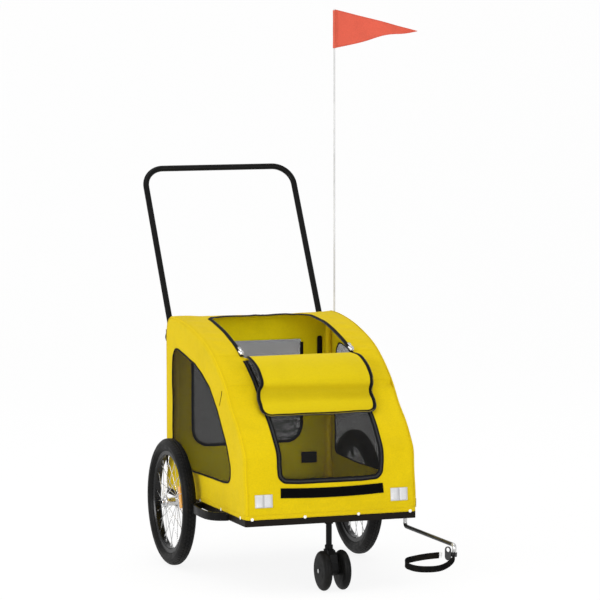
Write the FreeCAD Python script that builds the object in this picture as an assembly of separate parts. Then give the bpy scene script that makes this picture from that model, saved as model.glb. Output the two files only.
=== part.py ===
import FreeCAD, Part
import os
import math
from FreeCAD import Vector as V

os.makedirs("parts", exist_ok=True)

# Two-wheeled bicycle trailer with a folding cabin. Units are millimetres.
# +Z is up and the trailer travels towards -Y, so its front is at -Y.
# Left is -X and right is +X, as seen from in front of the trailer, looking towards +Y.
# The tow arm and the flag are on the right.
# The origin is on the ground, midway between the two main wheels, below the axle.

# ---------------------------------------------------------------- driving dimensions
RUN = 0.05             # radial running clearance
FIT = 0.01             # radial clearance of a fixed pin
HALF_WIDTH = 274.25    # half width of base frame and cabin
FRONT_Y = -598.5       # front face of base frame
REAR_Y = 165.0         # rear face of base frame
RAIL = 20.0            # square tube size
RAIL_Z0 = 204.0
RAIL_Z1 = RAIL_Z0 + RAIL
TUBE_WALL = 1.5
WHEEL_R = 200.0        # over the tyre
AXLE_Z = WHEEL_R
WHEEL_X = 310.8        # wheel plane
AXLE_TUBE_R = 11.0
AXLE_PIN_R = 6.0
CASTOR_Y = -575.0      # castor stem axis
TOW_X = 263.0          # tow arm pivot
TOW_Y = -537.0
POST_X = 230.0         # rear post axis
POST_Y = 180.0
POST_PIVOT_Z = 486.0
KNUCKLE_Z = 700.0      # pivot of the push handle


# ---------------------------------------------------------------- helpers
def save(shape, name):
    if shape.ShapeType == "Compound":
        shape = Part.makeCompound(shape.Solids)
    assert shape.isValid(), name
    assert shape.Volume > 0, name
    assert len(shape.Solids) >= 1, name
    shape.exportStep("parts/" + name + ".step")


def box(x0, x1, y0, y1, z0, z1):
    return Part.makeBox(x1 - x0, y1 - y0, z1 - z0, V(x0, y0, z0))


def rod_x(r, x0, x1, y, z):
    """cylinder along X"""
    return Part.makeCylinder(r, x1 - x0, V(x0, y, z), V(1, 0, 0))


def rod_y(r, x, y0, y1, z):
    """cylinder along Y"""
    return Part.makeCylinder(r, y1 - y0, V(x, y0, z), V(0, 1, 0))


def rod_z(r, x, y, z0, z1):
    """cylinder along Z"""
    return Part.makeCylinder(r, z1 - z0, V(x, y, z0), V(0, 0, 1))


def rail_hole(r, x, y):
    """upright cutter that passes right through the rails"""
    return rod_z(r, x, y, 190, 240)


def polygon_face(points):
    return Part.Face(Part.makePolygon(points + [points[0]]))


def prism_x(outline, x0, x1):
    """closed polygon given as (y, z), extruded along X"""
    return polygon_face([V(x0, y, z) for y, z in outline]).extrude(V(x1 - x0, 0, 0))


def prism_y(outline, y0, y1):
    """closed polygon given as (x, z), extruded along Y"""
    return polygon_face([V(x, y0, z) for x, z in outline]).extrude(V(0, y1 - y0, 0))


def prism_z(outline, z0, z1):
    """closed polygon given as (x, y), extruded along Z"""
    return polygon_face([V(x, y, z0) for x, y in outline]).extrude(V(0, 0, z1 - z0))


def grow(outline, distance):
    """closed polygon offset outwards (a negative distance shrinks it)"""
    points = [V(a, b, 0) for a, b in outline]
    offset = Part.makePolygon(points + [points[0]]).makeOffset2D(distance, 2)
    return [(vertex.X, vertex.Y) for vertex in offset.OrderedVertexes]


def line(start, end):
    return Part.LineSegment(start, end).toShape()


def spline(points):
    """smooth curve through (x, y, z) points"""
    curve = Part.BSplineCurve()
    curve.interpolate([V(*p) for p in points])
    return curve


def offset_points(outline, distance):
    """(y, z) points moved along the normal of the smooth curve through them.
    They move to the right of the curve's run, seen with +Y to the right and +Z up."""
    curve = spline([(0, y, z) for y, z in outline])
    moved = []
    for y, z in outline:
        tangent = curve.tangent(curve.parameter(V(0, y, z)))[0]
        moved.append((y + tangent.z * distance, z - tangent.y * distance))
    return moved


def round_path(points, radii):
    """polyline with a tangent arc at every inner corner"""
    points = [V(*p) for p in points]
    edges = []
    start = points[0]
    for before, corner, after, radius in zip(points, points[1:], points[2:], radii):
        back = (before - corner).normalize()
        ahead = (after - corner).normalize()
        half_angle = back.getAngle(ahead) / 2.0
        setback = radius / math.tan(half_angle)
        arc_start = corner + back * setback
        arc_end = corner + ahead * setback
        bisector = (back + ahead).normalize()
        centre = corner + bisector * (radius / math.sin(half_angle))
        edges.append(line(start, arc_start))
        edges.append(Part.Arc(arc_start, centre - bisector * radius, arc_end).toShape())
        start = arc_end
    edges.append(line(start, points[-1]))
    return Part.Wire(edges)


def pipe(wire, r):
    """round bar swept along a wire"""
    first = wire.Edges[0]
    direction = first.tangentAt(first.FirstParameter)
    circle = Part.makeCircle(r, wire.OrderedVertexes[0].Point, direction)
    return wire.makePipeShell([Part.Wire([circle])], True, False)


def mirror(shape):
    return shape.mirror(V(0, 0, 0), V(1, 0, 0))


def both(shape):
    """the shape and its mirror image on the other side"""
    return Part.makeCompound([shape, mirror(shape)])


def turn_z(shape, degrees):
    """rotates the shape in place about the Z axis through the origin"""
    shape.rotate(V(0, 0, 0), V(0, 0, 1), degrees)


# ---------------------------------------------------------------- base frame
RAIL_CORNER_R = 7
CROSSBAR_YS = (-400, -200)
CROSSBAR_HALF = 10
CROSSBAR_H = 13.0
CASTOR_SLEEVE_R = 13.0
STEM_R = 9.0
TOW_BUSH_R = 8.5
FLOOR_GAP = 0.4
FLOOR_T = 5.0


def rail_ring(inset):
    """solid rectangular ring of rails, every face moved inwards by inset"""
    side = HALF_WIDTH - inset
    ring = box(-side, side, FRONT_Y + inset, REAR_Y - inset, RAIL_Z0 + inset, RAIL_Z1 - inset)
    uprights = [e for e in ring.Edges if e.Length < RAIL + 0.1 - 2 * inset]
    ring = ring.makeFillet(RAIL_CORNER_R - inset, uprights)
    reach = RAIL - inset
    side = HALF_WIDTH - reach
    return ring.cut(box(-side, side, FRONT_Y + reach, REAR_Y - reach, 190, 240))


def crossbar(y):
    side = HALF_WIDTH - RAIL
    bar = box(-side, side, y - CROSSBAR_HALF, y + CROSSBAR_HALF, RAIL_Z0, RAIL_Z0 + CROSSBAR_H)
    bore = CROSSBAR_HALF - TUBE_WALL
    return bar.cut(box(-HALF_WIDTH, HALF_WIDTH, y - bore, y + bore,
                       RAIL_Z0 + TUBE_WALL, RAIL_Z0 + CROSSBAR_H - TUBE_WALL))


def base_frame():
    frame = rail_ring(0).cut(rail_ring(TUBE_WALL))
    # welded parts sit in notches of the tube
    frame = frame.cut(rod_x(AXLE_TUBE_R, -290, 290, 0, AXLE_Z))
    frame = frame.cut(rail_hole(CASTOR_SLEEVE_R, 0, CASTOR_Y))
    frame = frame.cut(rail_hole(TOW_BUSH_R, TOW_X, TOW_Y))
    sleeve = rod_z(CASTOR_SLEEVE_R, 0, CASTOR_Y, 198, 226)
    sleeve = sleeve.cut(rail_hole(STEM_R + RUN, 0, CASTOR_Y))
    return frame.fuse([sleeve] + [crossbar(y) for y in CROSSBAR_YS])


def floor_board():
    """board between the rails, resting on the crossbars"""
    margin = RAIL + FLOOR_GAP
    side = HALF_WIDTH - margin
    z0 = RAIL_Z0 + CROSSBAR_H
    board = box(-side, side, FRONT_Y + margin, REAR_Y - margin, z0, z0 + FLOOR_T)
    return board.cut(rail_hole(CASTOR_SLEEVE_R + FLOOR_GAP, 0, CASTOR_Y))


def axle_tube():
    """thick at both ends to guide the axle pins, bored wider in the middle"""
    tube = rod_x(AXLE_TUBE_R, -283.5, 283.5, 0, AXLE_Z)
    tube = tube.cut(rod_x(AXLE_PIN_R + RUN, -290, 290, 0, AXLE_Z))
    return tube.cut(rod_x(9.0, -190, 190, 0, AXLE_Z))


save(base_frame(), "base_frame")
save(floor_board(), "floor_board")
save(axle_tube(), "axle_tube")

# ---------------------------------------------------------------- cabin outline
# Side view (y, z), from the front edge over the windscreen slope and roof to the rear corner
OUTLINE = [
    (-602.5, 262), (-599, 300), (-594, 326), (-589, 372), (-585, 412), (-559, 452), (-523, 494),
    (-468, 541), (-417, 598), (-358, 647), (-267, 701), (-173, 734), (-108, 750), (-31, 763),
    (45, 771), (100, 773), (134, 768), (154, 749), (163, 722), (165, 690)]
CABIN_FRONT_Y = -600.0     # foot of the front


def cabin(inset, z_bottom):
    """solid cabin with its top, front, rear and sides moved inwards by inset"""
    points = [V(0, y, z) for y, z in offset_points(OUTLINE, inset)]
    front_foot = V(0, CABIN_FRONT_Y + inset, z_bottom)
    rear_foot = V(0, points[-1].y, z_bottom)
    face = Part.Face(Part.Wire([
        spline(points).toShape(), line(points[-1], rear_foot),
        line(rear_foot, front_foot), line(front_foot, points[0])]))
    side = HALF_WIDTH - inset
    face.translate(V(-side, 0, 0))
    return face.extrude(V(2 * side, 0, 0))


# ---------------------------------------------------------------- cabin hoops
HOOP_R = 8.0
HOOP_X = 262.0
LEFT_HOOP = dict(x=-HOOP_X, front_y=-560.0, rear_y=102.0, pivot_z=236.0)
RIGHT_HOOP = dict(x=HOOP_X, front_y=-584.0, rear_y=126.0, pivot_z=262.0)
HOOP_PIN_R = 3.0
HOOP_PIN_HEAD_R = 4.6
HOOP_PIN_HEAD = 1.8
BRACKET_R = 7.5            # half width of a bracket and radius of its ears
BRACKET_IN = 8.6           # inner and outer faces of the ears, from the hoop axis
BRACKET_OUT = 11.1


def hoop(x, front_y, rear_y, pivot_z, inset, roof_end_y):
    """bent bar that follows the roof up to roof_end_y, then drops to its rear pivot"""
    roof = [q for q in offset_points(OUTLINE, inset) if q[1] > 405 and q[0] < roof_end_y]
    top = max(z for y, z in roof)
    points = [(x, front_y, pivot_z), (x, front_y, pivot_z + 20),
              (x, front_y + 1, 305), (x, front_y + 9, 355)]
    points += [(x, y, z) for y, z in roof if y > front_y + 12]
    points += [(x, rear_y - 24, top - 5), (x, rear_y - 7, top - 22), (x, rear_y, top - 52),
               (x, rear_y, top - 120), (x, rear_y, 400), (x, rear_y, pivot_z)]
    wire = Part.Wire([spline(points).toShape()])
    section = Part.Wire([Part.makeCircle(HOOP_R, V(*points[0]), V(0, 0, 1))])
    body = wire.makePipeShell([section], True, False)
    for y in (front_y, rear_y):
        body = body.fuse(Part.makeSphere(HOOP_R, V(x, y, pivot_z)))
    for y in (front_y, rear_y):
        body = body.cut(rod_y(HOOP_PIN_R + RUN, x, y - 12, y + 12, pivot_z))
    return body


def hoop_bracket(x, y, z):
    """U-shaped bracket on the rail with an ear before and behind the hoop end"""
    x0, x1 = x - BRACKET_R, x + BRACKET_R
    bracket = box(x0, x1, y - BRACKET_OUT, y + BRACKET_OUT, RAIL_Z1, RAIL_Z1 + 2)
    for y0, y1 in ((y - BRACKET_OUT, y - BRACKET_IN), (y + BRACKET_IN, y + BRACKET_OUT)):
        bracket = bracket.fuse(box(x0, x1, y0, y1, RAIL_Z1, z))
        bracket = bracket.fuse(rod_y(BRACKET_R, x, y0, y1, z))
    return bracket.cut(rod_y(HOOP_PIN_R + FIT, x, y - 12, y + 12, z)).removeSplitter()


def hoop_pin(x, y, z):
    y0, y1 = y - BRACKET_OUT, y + BRACKET_OUT
    pin = rod_y(HOOP_PIN_R, x, y0, y1, z)
    pin = pin.fuse(rod_y(HOOP_PIN_HEAD_R, x, y0 - HOOP_PIN_HEAD, y0, z))
    return pin.fuse(rod_y(HOOP_PIN_HEAD_R, x, y1, y1 + HOOP_PIN_HEAD, z))


hoop_pivots = [(ends["x"], ends[end], ends["pivot_z"])
               for ends in (LEFT_HOOP, RIGHT_HOOP) for end in ("front_y", "rear_y")]
save(hoop(**LEFT_HOOP, inset=40.0, roof_end_y=60), "left_hoop")
save(hoop(**RIGHT_HOOP, inset=18.0, roof_end_y=70), "right_hoop")
save(Part.makeCompound([hoop_bracket(*p) for p in hoop_pivots]), "hoop_brackets")

# ---------------------------------------------------------------- rear posts and their brackets
POST_R = 9.5
PIVOT_R = 4.0              # pivots at both ends of the post
KNUCKLE_R = 14
KNUCKLE_X0 = 218.0         # inner face of the post knuckle
CHEEK_OUT = 12.4           # outer face of a hinge cheek, from the post axis
CHEEK_T = 2.5
CHEEK_R = 13


def post_bar():
    return rod_z(POST_R, POST_X, POST_Y, POST_PIVOT_Z, KNUCKLE_Z)


def knuckle_bore():
    return rod_x(PIVOT_R + FIT, 200, 280, POST_Y, KNUCKLE_Z)


def rear_post():
    post = post_bar().fuse(Part.makeSphere(POST_R, V(POST_X, POST_Y, POST_PIVOT_Z)))
    post = post.cut(rod_x(PIVOT_R + RUN, POST_X - 15, POST_X + 15, POST_Y, POST_PIVOT_Z))
    return post.cut(knuckle_bore())


def rear_post_knuckle():
    knuckle = rod_x(KNUCKLE_R, KNUCKLE_X0, 241.0, POST_Y, KNUCKLE_Z)
    return knuckle.cut(post_bar()).cut(knuckle_bore())


def rear_post_bracket():
    """fixed lower upright: back plate on the rear rail, tube, and hinge cheeks at the top"""
    x_in, x_out = POST_X - CHEEK_OUT, POST_X + CHEEK_OUT
    plate_top = RAIL_Z0 + 60
    bracket = box(x_in, x_out, REAR_Y, REAR_Y + 3.0, RAIL_Z0, plate_top)
    bracket = bracket.fuse(rod_z(10.0, POST_X, POST_Y, RAIL_Z0 + 6, POST_PIVOT_Z - 10.5))
    for x0, x1 in ((x_in, x_in + CHEEK_T), (x_out - CHEEK_T, x_out)):
        bracket = bracket.fuse(box(x0, x1, REAR_Y, POST_Y, RAIL_Z0 + 4, plate_top))
        bracket = bracket.fuse(box(x0, x1, POST_Y - CHEEK_R, POST_Y + CHEEK_R,
                                   POST_PIVOT_Z - 40, POST_PIVOT_Z))
        bracket = bracket.fuse(rod_x(CHEEK_R, x0, x1, POST_Y, POST_PIVOT_Z))
    bracket = bracket.cut(rod_z(8.4, POST_X, POST_Y, RAIL_Z0, RAIL_Z0 + 400))
    bore = rod_x(PIVOT_R + FIT, POST_X - 20, POST_X + 20, POST_Y, POST_PIVOT_Z)
    return bracket.cut(bore).removeSplitter()


def rear_post_pin():
    x_in, x_out = POST_X - CHEEK_OUT, POST_X + CHEEK_OUT
    pin = rod_x(PIVOT_R, x_in - 1.6, x_out + 1.2, POST_Y, POST_PIVOT_Z)
    pin = pin.fuse(rod_x(6.5, x_in - 3.0, x_in, POST_Y, POST_PIVOT_Z))
    return pin.fuse(rod_x(6.5, x_out, x_out + 1.2, POST_Y, POST_PIVOT_Z))


save(both(rear_post()), "rear_posts")
save(both(rear_post_knuckle()), "rear_post_knuckles")
save(both(rear_post_bracket()), "rear_post_brackets")
post_pin = rear_post_pin()
save(Part.makeCompound([hoop_pin(*p) for p in hoop_pivots] + [post_pin, mirror(post_pin)]),
     "frame_pivot_pins")

# ---------------------------------------------------------------- push handle
HANDLE_X = 253.8
HANDLE_R = 9.5
HANDLE_WALL = 1.4
HANDLE_TOP_Y = 456.0       # cross bar
HANDLE_TOP_Z = 1220.0
HANDLE_LEAN = 0.58         # run towards the rear per unit of height
HANDLE_FOOT_Z = KNUCKLE_Z + 8
BUTTON_R = 6.0


def handle_bar():
    """the legs rise from the knuckles, then lean back along one straight line"""
    bend_z = HANDLE_TOP_Z - (HANDLE_TOP_Y - POST_Y) / HANDLE_LEAN
    leg = [(POST_Y, HANDLE_FOOT_Z), (POST_Y, bend_z), (HANDLE_TOP_Y, HANDLE_TOP_Z)]
    points = [(-HANDLE_X, y, z) for y, z in leg] + [(HANDLE_X, y, z) for y, z in reversed(leg)]
    path = round_path(points, [50, 66, 66, 50])
    return pipe(path, HANDLE_R).cut(pipe(path, HANDLE_R - HANDLE_WALL))


def handle_knuckle():
    knuckle = rod_x(KNUCKLE_R, 241.4, 266.0, POST_Y, KNUCKLE_Z)
    knuckle = knuckle.fuse(box(243.0, 264.6, POST_Y - 12, POST_Y + 12, KNUCKLE_Z, KNUCKLE_Z + 24))
    knuckle = knuckle.cut(rod_z(HANDLE_R, HANDLE_X, POST_Y, HANDLE_FOOT_Z, HANDLE_FOOT_Z + 40))
    knuckle = knuckle.cut(rod_x(PIVOT_R + RUN, 230, 258, POST_Y, KNUCKLE_Z))
    return knuckle.cut(rod_x(BUTTON_R + RUN, 258, 278, POST_Y, KNUCKLE_Z))


def handle_bolt():
    bolt = rod_x(PIVOT_R, KNUCKLE_X0, 255.8, POST_Y, KNUCKLE_Z)
    return bolt.fuse(rod_x(7.0, KNUCKLE_X0 - 3.0, KNUCKLE_X0, POST_Y, KNUCKLE_Z))


save(handle_bar(), "handle_bar")
save(both(handle_knuckle()), "handle_knuckles")
save(both(handle_bolt()), "handle_pivot_bolts")
release_button = rod_x(BUTTON_R, 261.6, 269.2, POST_Y, KNUCKLE_Z)
save(mirror(release_button), "left_release_button")
save(release_button, "right_release_button")

# ---------------------------------------------------------------- main wheels
TYRE_SECTION_R = 22.0
TYRE_T = 3.5
RIM_R1 = 160.4             # outer radius
RIM_R0 = 146.0             # inner radius
RIM_HALF = 12.0
BEARING_R = 12.02
SPOKES_PER_SIDE = 14
SPOKE_START_R = 22.05
NIPPLE_LENGTH = 11.0
# Turned profiles, each point (distance along X from the wheel plane, radius)
RIM_OUTER = [
    (-RIM_HALF, RIM_R0 + 3), (-RIM_HALF + 4, RIM_R0), (RIM_HALF - 4, RIM_R0),
    (RIM_HALF, RIM_R0 + 3), (RIM_HALF, RIM_R1), (-RIM_HALF, RIM_R1)]
RIM_VOID = [
    (-RIM_HALF + 1.5, RIM_R0 + 3.6), (-RIM_HALF + 4.6, RIM_R0 + 1.5),
    (RIM_HALF - 4.6, RIM_R0 + 1.5), (RIM_HALF - 1.5, RIM_R0 + 3.6),
    (RIM_HALF - 1.5, RIM_R1 - 1.5), (-RIM_HALF + 1.5, RIM_R1 - 1.5)]
HUB = [
    (-26, BEARING_R), (-26, 16), (-22, 17), (-21.6, 22.0), (-18.4, 22.0), (-18.0, 16),
    (-10, 12.5), (10, 12.5), (18.0, 16), (18.4, 22.0), (21.6, 22.0), (22, 17), (26, 16),
    (26, BEARING_R), (20, BEARING_R), (20, 8), (-20, 8), (-20, BEARING_R)]
AXLE_PIN = [
    (-81, 0), (-81, 4.5), (-79, AXLE_PIN_R), (26.4, AXLE_PIN_R), (26.4, 10.5), (31.5, 10.5),
    (33.0, 9.0), (33.0, 5.05), (27.5, 5.05), (27.5, 0)]
AXLE_BUTTON = [(30.0, 0), (30.0, 5.0), (35.5, 5.0), (36.2, 4.3), (36.2, 0)]


def turned(profile, wheel_x):
    """profile turned about the main axle"""
    face = polygon_face([V(wheel_x + a, 0, AXLE_Z + r) for a, r in profile])
    return face.revolve(V(0, 0, AXLE_Z), V(1, 0, 0), 360)


def tyre(wheel_x):
    centre = V(wheel_x, 0, AXLE_Z)
    ring_r = WHEEL_R - TYRE_SECTION_R
    outer = Part.makeTorus(ring_r, TYRE_SECTION_R, centre, V(1, 0, 0))
    inner = Part.makeTorus(ring_r, TYRE_SECTION_R - TYRE_T, centre, V(1, 0, 0))
    core = rod_x(RIM_R1 + 0.1, wheel_x - 40, wheel_x + 40, 0, AXLE_Z)
    return outer.cut(inner).cut(core)


def hub_bearings(wheel_x):
    rings = []
    for start in (-25.9, 20.0):
        end = start + 5.9
        rings.append(turned([(start, AXLE_PIN_R + RUN), (end, AXLE_PIN_R + RUN),
                             (end, BEARING_R), (start, BEARING_R)], wheel_x))
    return Part.makeCompound(rings)


def spoke(wheel_x, flange, hub_angle, rim_angle):
    """thin spoke with a thicker nipple at the rim; angles are turned from +Z towards +Y"""
    rim_r = RIM_R0 - 0.1
    hub_point = V(wheel_x + flange * 20.0, SPOKE_START_R * math.sin(hub_angle),
                  AXLE_Z + SPOKE_START_R * math.cos(hub_angle))
    rim_point = V(wheel_x + flange * 1.6, rim_r * math.sin(rim_angle),
                  AXLE_Z + rim_r * math.cos(rim_angle))
    direction = (rim_point - hub_point).normalize()
    start = hub_point + direction * 1.2
    end = rim_point - direction * 1.0
    wire = Part.makeCylinder(1.0, (end - start).Length, start, direction)
    nipple_start = end - direction * NIPPLE_LENGTH
    return wire.fuse(Part.makeCylinder(1.9, NIPPLE_LENGTH, nipple_start, direction))


def spokes(wheel_x):
    """the two flanges lean their spokes opposite ways, every second spoke less than the next"""
    result = []
    for flange, lean, phase in ((-1, 24.0, 0.25), (1, -24.0, 0.75)):
        for k in range(SPOKES_PER_SIDE):
            rim_angle = math.radians(360.0 * (k + phase) / SPOKES_PER_SIDE)
            hub_angle = rim_angle + math.radians(lean) * (1 if k % 2 == 0 else 0.55)
            result.append(spoke(wheel_x, flange, hub_angle, rim_angle))
    return Part.makeCompound(result)


def spoke_reflector(wheel_x):
    """round-cornered plate held between the spokes"""
    half_t = 3.4
    plate = box(-half_t, half_t, -34, 34, -11, 11)
    plate = plate.makeFillet(3.0, [e for e in plate.Edges if abs(e.Length - 2 * half_t) < 0.01])
    plate.translate(V(0, 0, 96))
    plate.rotate(V(0, 0, 0), V(1, 0, 0), 74)
    plate.translate(V(wheel_x, 0, AXLE_Z))
    return plate


# quick-release axle with a push button in its outer end
axle_pin = turned(AXLE_PIN, WHEEL_X)
axle_button = turned(AXLE_BUTTON, WHEEL_X)
for name, wheel_x in (("left_", -WHEEL_X), ("right_", WHEEL_X)):
    save(tyre(wheel_x), name + "tyre")
    save(turned(RIM_OUTER, wheel_x).cut(turned(RIM_VOID, wheel_x)), name + "rim")
    save(turned(HUB, wheel_x), name + "hub")
    save(hub_bearings(wheel_x), name + "hub_bearings")
    save(spokes(wheel_x), name + "spokes")
    save(spoke_reflector(wheel_x), name + "spoke_reflectors")
    save(mirror(axle_pin) if wheel_x < 0 else axle_pin, name + "axle_pin")
    save(mirror(axle_button) if wheel_x < 0 else axle_button, name + "axle_button")

# ---------------------------------------------------------------- wheel bumper bars
# Outer edge of the left bar in plan view (x, y), front to rear
BUMPER = [
    (-274.25, -444), (-290, -442), (-312, -430), (-328, -400), (-332, -355), (-330.5, -300),
    (-325, -262), (-314, -236), (-298, -222), (-285.5, -205), (-279, -170), (-277.6, -120)]
BUMPER_T = 5


def bumper_bar():
    """curved bar on the left side rail, taller where it stands away from the rail"""
    curve = spline([(x, y, RAIL_Z0) for x, y in BUMPER])
    # the inner edge is offset from the outer one, but its ends lie on the rail
    inner = [(-HALF_WIDTH, -436, RAIL_Z0)]
    for x, y in BUMPER[1:-2]:
        tangent = curve.tangent(curve.parameter(V(x, y, RAIL_Z0)))[0]
        sign = 1 if -tangent.y >= 0 else -1
        inner.append((x - sign * tangent.y * BUMPER_T, y + sign * tangent.x * BUMPER_T, RAIL_Z0))
    inner += [(-274.3, -168, RAIL_Z0), (-274.3, -120, RAIL_Z0)]
    strip = Part.Face(Part.Wire([
        curve.toShape(), line(V(*BUMPER[-1], RAIL_Z0), V(*inner[-1])),
        spline(inner[::-1]).toShape(), line(V(*inner[0]), V(*BUMPER[0], RAIL_Z0))]))
    bar = strip.extrude(V(0, 0, 18.4))
    tall = strip.extrude(V(0, 0, 25.5)).common(box(-340, -282, -460, -205, 190, 260))
    bar = bar.fuse(tall).removeSplitter()
    bar.translate(V(0, 0, -2.0))
    return bar.cut(box(-HALF_WIDTH, -200, -500, -50, 190, 240))


save(both(bumper_bar()), "wheel_bumper_bars")

# ---------------------------------------------------------------- swivel castor
CASTOR_AXLE_Y = -606.4
CASTOR_R = 60.4            # also the height of the castor axle
CASTOR_X = 30.4            # middle of each castor wheel
CASTOR_HALF = 13           # half width of a castor wheel
CASTOR_AXLE_R = 4.0
CASTOR_AXLE_HALF = 44.4
STEM_Z0 = 119.9            # underside of the stem collar
STEM_PIN_R = 6.0
# Side view of the fork (y, z)
FORK = [
    (-621, 52), (-624.5, 62), (-623, 84), (-614, 108), (-596, 119.6), (-559.6, 119.6),
    (-559.6, 84), (-572, 66), (-590, 50), (-606.4, 43.4)]
# Tread (distance along X from the wheel middle, radius)
TREAD = [
    (-CASTOR_HALF, 30), (-12.6, 44), (-11, 52), (-8, 57), (-4, 59.7), (0, CASTOR_R),
    (4, 59.7), (8, 57), (11, 52), (12.6, 44), (CASTOR_HALF, 30)]


def castor_stem():
    stem = rod_z(STEM_R, 0, CASTOR_Y, STEM_Z0, 225.5)
    stem = stem.fuse(rod_z(12.4, 0, CASTOR_Y, STEM_Z0, 132.9))
    return stem.fuse(rod_z(STEM_PIN_R, 0, CASTOR_Y, 98.0, 123.0))


def castor_fork():
    fork = prism_x(FORK, -11.5, 11.5)
    fork = fork.fuse(rod_x(15, -15.5, 15.5, CASTOR_AXLE_Y, CASTOR_R))
    fork = fork.fuse(rod_z(15.5, 0, CASTOR_Y, 80, 119.7))
    fork = fork.cut(rod_z(STEM_PIN_R + RUN, 0, CASTOR_Y, 97, 137))
    return fork.cut(rod_x(CASTOR_AXLE_R + FIT, -30, 30, CASTOR_AXLE_Y, CASTOR_R))


def castor_axle():
    end = CASTOR_AXLE_HALF
    axle = rod_x(CASTOR_AXLE_R, -end, end, CASTOR_AXLE_Y, CASTOR_R)
    for x0, x1 in ((-end - 2.2, -end), (end, end + 2.2)):
        axle = axle.fuse(rod_x(6.5, x0, x1, CASTOR_AXLE_Y, CASTOR_R))
    return axle


def castor_wheel(x):
    points = [V(x + a, CASTOR_AXLE_Y, CASTOR_R + r) for a, r in TREAD]
    bore_z = CASTOR_R + CASTOR_AXLE_R + RUN
    bore_left = V(x - CASTOR_HALF, CASTOR_AXLE_Y, bore_z)
    bore_right = V(x + CASTOR_HALF, CASTOR_AXLE_Y, bore_z)
    face = Part.Face(Part.Wire([
        spline(points).toShape(), line(points[-1], bore_right),
        line(bore_right, bore_left), line(bore_left, points[0])]))
    return face.revolve(V(0, CASTOR_AXLE_Y, CASTOR_R), V(1, 0, 0), 360)


save(castor_stem(), "castor_stem")
save(castor_fork(), "castor_fork")
save(castor_axle(), "castor_axle")
save(castor_wheel(-CASTOR_X), "castor_wheel_left")
save(castor_wheel(CASTOR_X), "castor_wheel_right")

# ---------------------------------------------------------------- tow arm
TOW_R = 6.0
TOW_Z = 170.0
TOW_END_Y = -929.0
TOW_TIP_Z = 136.0          # lower end of the front leg
TOW_TIP_SHIFT = 2.4        # the front leg slants inwards by this much
COTTER_Z = RAIL_Z1 + 1.6


def tow_arm():
    path = round_path([(TOW_X, TOW_Y, RAIL_Z1 + 3), (TOW_X, TOW_Y, TOW_Z),
                       (TOW_X, TOW_END_Y, TOW_Z),
                       (TOW_X - TOW_TIP_SHIFT, TOW_END_Y, TOW_TIP_Z)], [13, 10])
    return pipe(path, TOW_R).cut(rod_x(1.25, TOW_X - 10, TOW_X + 10, TOW_Y, COTTER_Z))


bush = rod_z(TOW_BUSH_R, TOW_X, TOW_Y, RAIL_Z0, RAIL_Z1)
save(bush.cut(rail_hole(TOW_R + RUN, TOW_X, TOW_Y)), "tow_arm_bush")
save(tow_arm(), "tow_arm")
save(rod_x(1.2, TOW_X - 8.6, TOW_X + 7.8, TOW_Y, COTTER_Z), "tow_arm_cotter")

# ---------------------------------------------------------------- hitch plate
HITCH_X = 243.2
HITCH_Y = -926.0
HITCH_Z0 = 126.0
HITCH_Z1 = 167.5
HITCH_R = 11               # rounded ends of the plate
HITCH_T = 2.5
HITCH_ANGLE = math.degrees(math.atan2(-0.86, 0.51))    # plate's long direction in plan
COLLAR_Z0 = 137.0
COLLAR_Z1 = 149.0


def leg_axis(z):
    """point on the axis of the tow arm's front leg"""
    fraction = (TOW_Z - z) / (TOW_Z - TOW_TIP_Z)
    return V(TOW_X - TOW_TIP_SHIFT * fraction, TOW_END_Y, z)


def hitch_plate():
    """upright plate with an eye, joined by an arm to a collar round the tow arm's leg"""
    bottom = leg_axis(COLLAR_Z0)
    axis = leg_axis(COLLAR_Z1) - bottom
    collar = Part.makeCylinder(9.0, axis.Length, bottom, axis)

    height = HITCH_Z1 - HITCH_Z0 - 2 * HITCH_R
    half_t = HITCH_T / 2
    plate = box(-HITCH_R, HITCH_R, -half_t, half_t, 0, height)
    for z in (0, height):
        plate = plate.fuse(rod_y(HITCH_R, 0, -half_t, half_t, z))
    turn_z(plate, HITCH_ANGLE)
    plate.translate(V(HITCH_X, HITCH_Y, HITCH_Z0 + HITCH_R))

    arm = box(0, 17.5, -2.5, 2.5, 0, COLLAR_Z1 - COLLAR_Z0 - 2)
    turn_z(arm, math.degrees(math.atan2(bottom.y - HITCH_Y, bottom.x - HITCH_X)))
    arm.translate(V(HITCH_X, HITCH_Y, COLLAR_Z0 + 1))

    hitch = plate.fuse(arm).fuse(collar)
    bore_start = bottom - axis * (20 / axis.Length)
    hitch = hitch.cut(Part.makeCylinder(TOW_R + RUN, 60, bore_start, axis))
    eye = rod_y(6.5, 0, -40, 40, 0)
    turn_z(eye, HITCH_ANGLE)
    eye.translate(V(HITCH_X, HITCH_Y, HITCH_Z1 - HITCH_R + 1.0))
    return hitch.cut(eye)


save(hitch_plate(), "hitch_plate")

# ---------------------------------------------------------------- safety strap
# Centre line of the webbing (x, y, z), hung from the end of the tow arm
STRAP = [
    (258.0, -939.2, 148.5), (253.0, -948.0, 137.0), (234.0, -959.0, 122.5),
    (202.0, -972.0, 113.3), (153.0, -980.0, 113.0), (113.0, -972.0, 118.5),
    (98.0, -955.0, 126.0), (104.0, -938.0, 132.0), (130.0, -921.0, 135.3),
    (181.0, -904.0, 137.4), (228.0, -893.0, 137.3)]
strap_curve = spline(STRAP)


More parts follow.
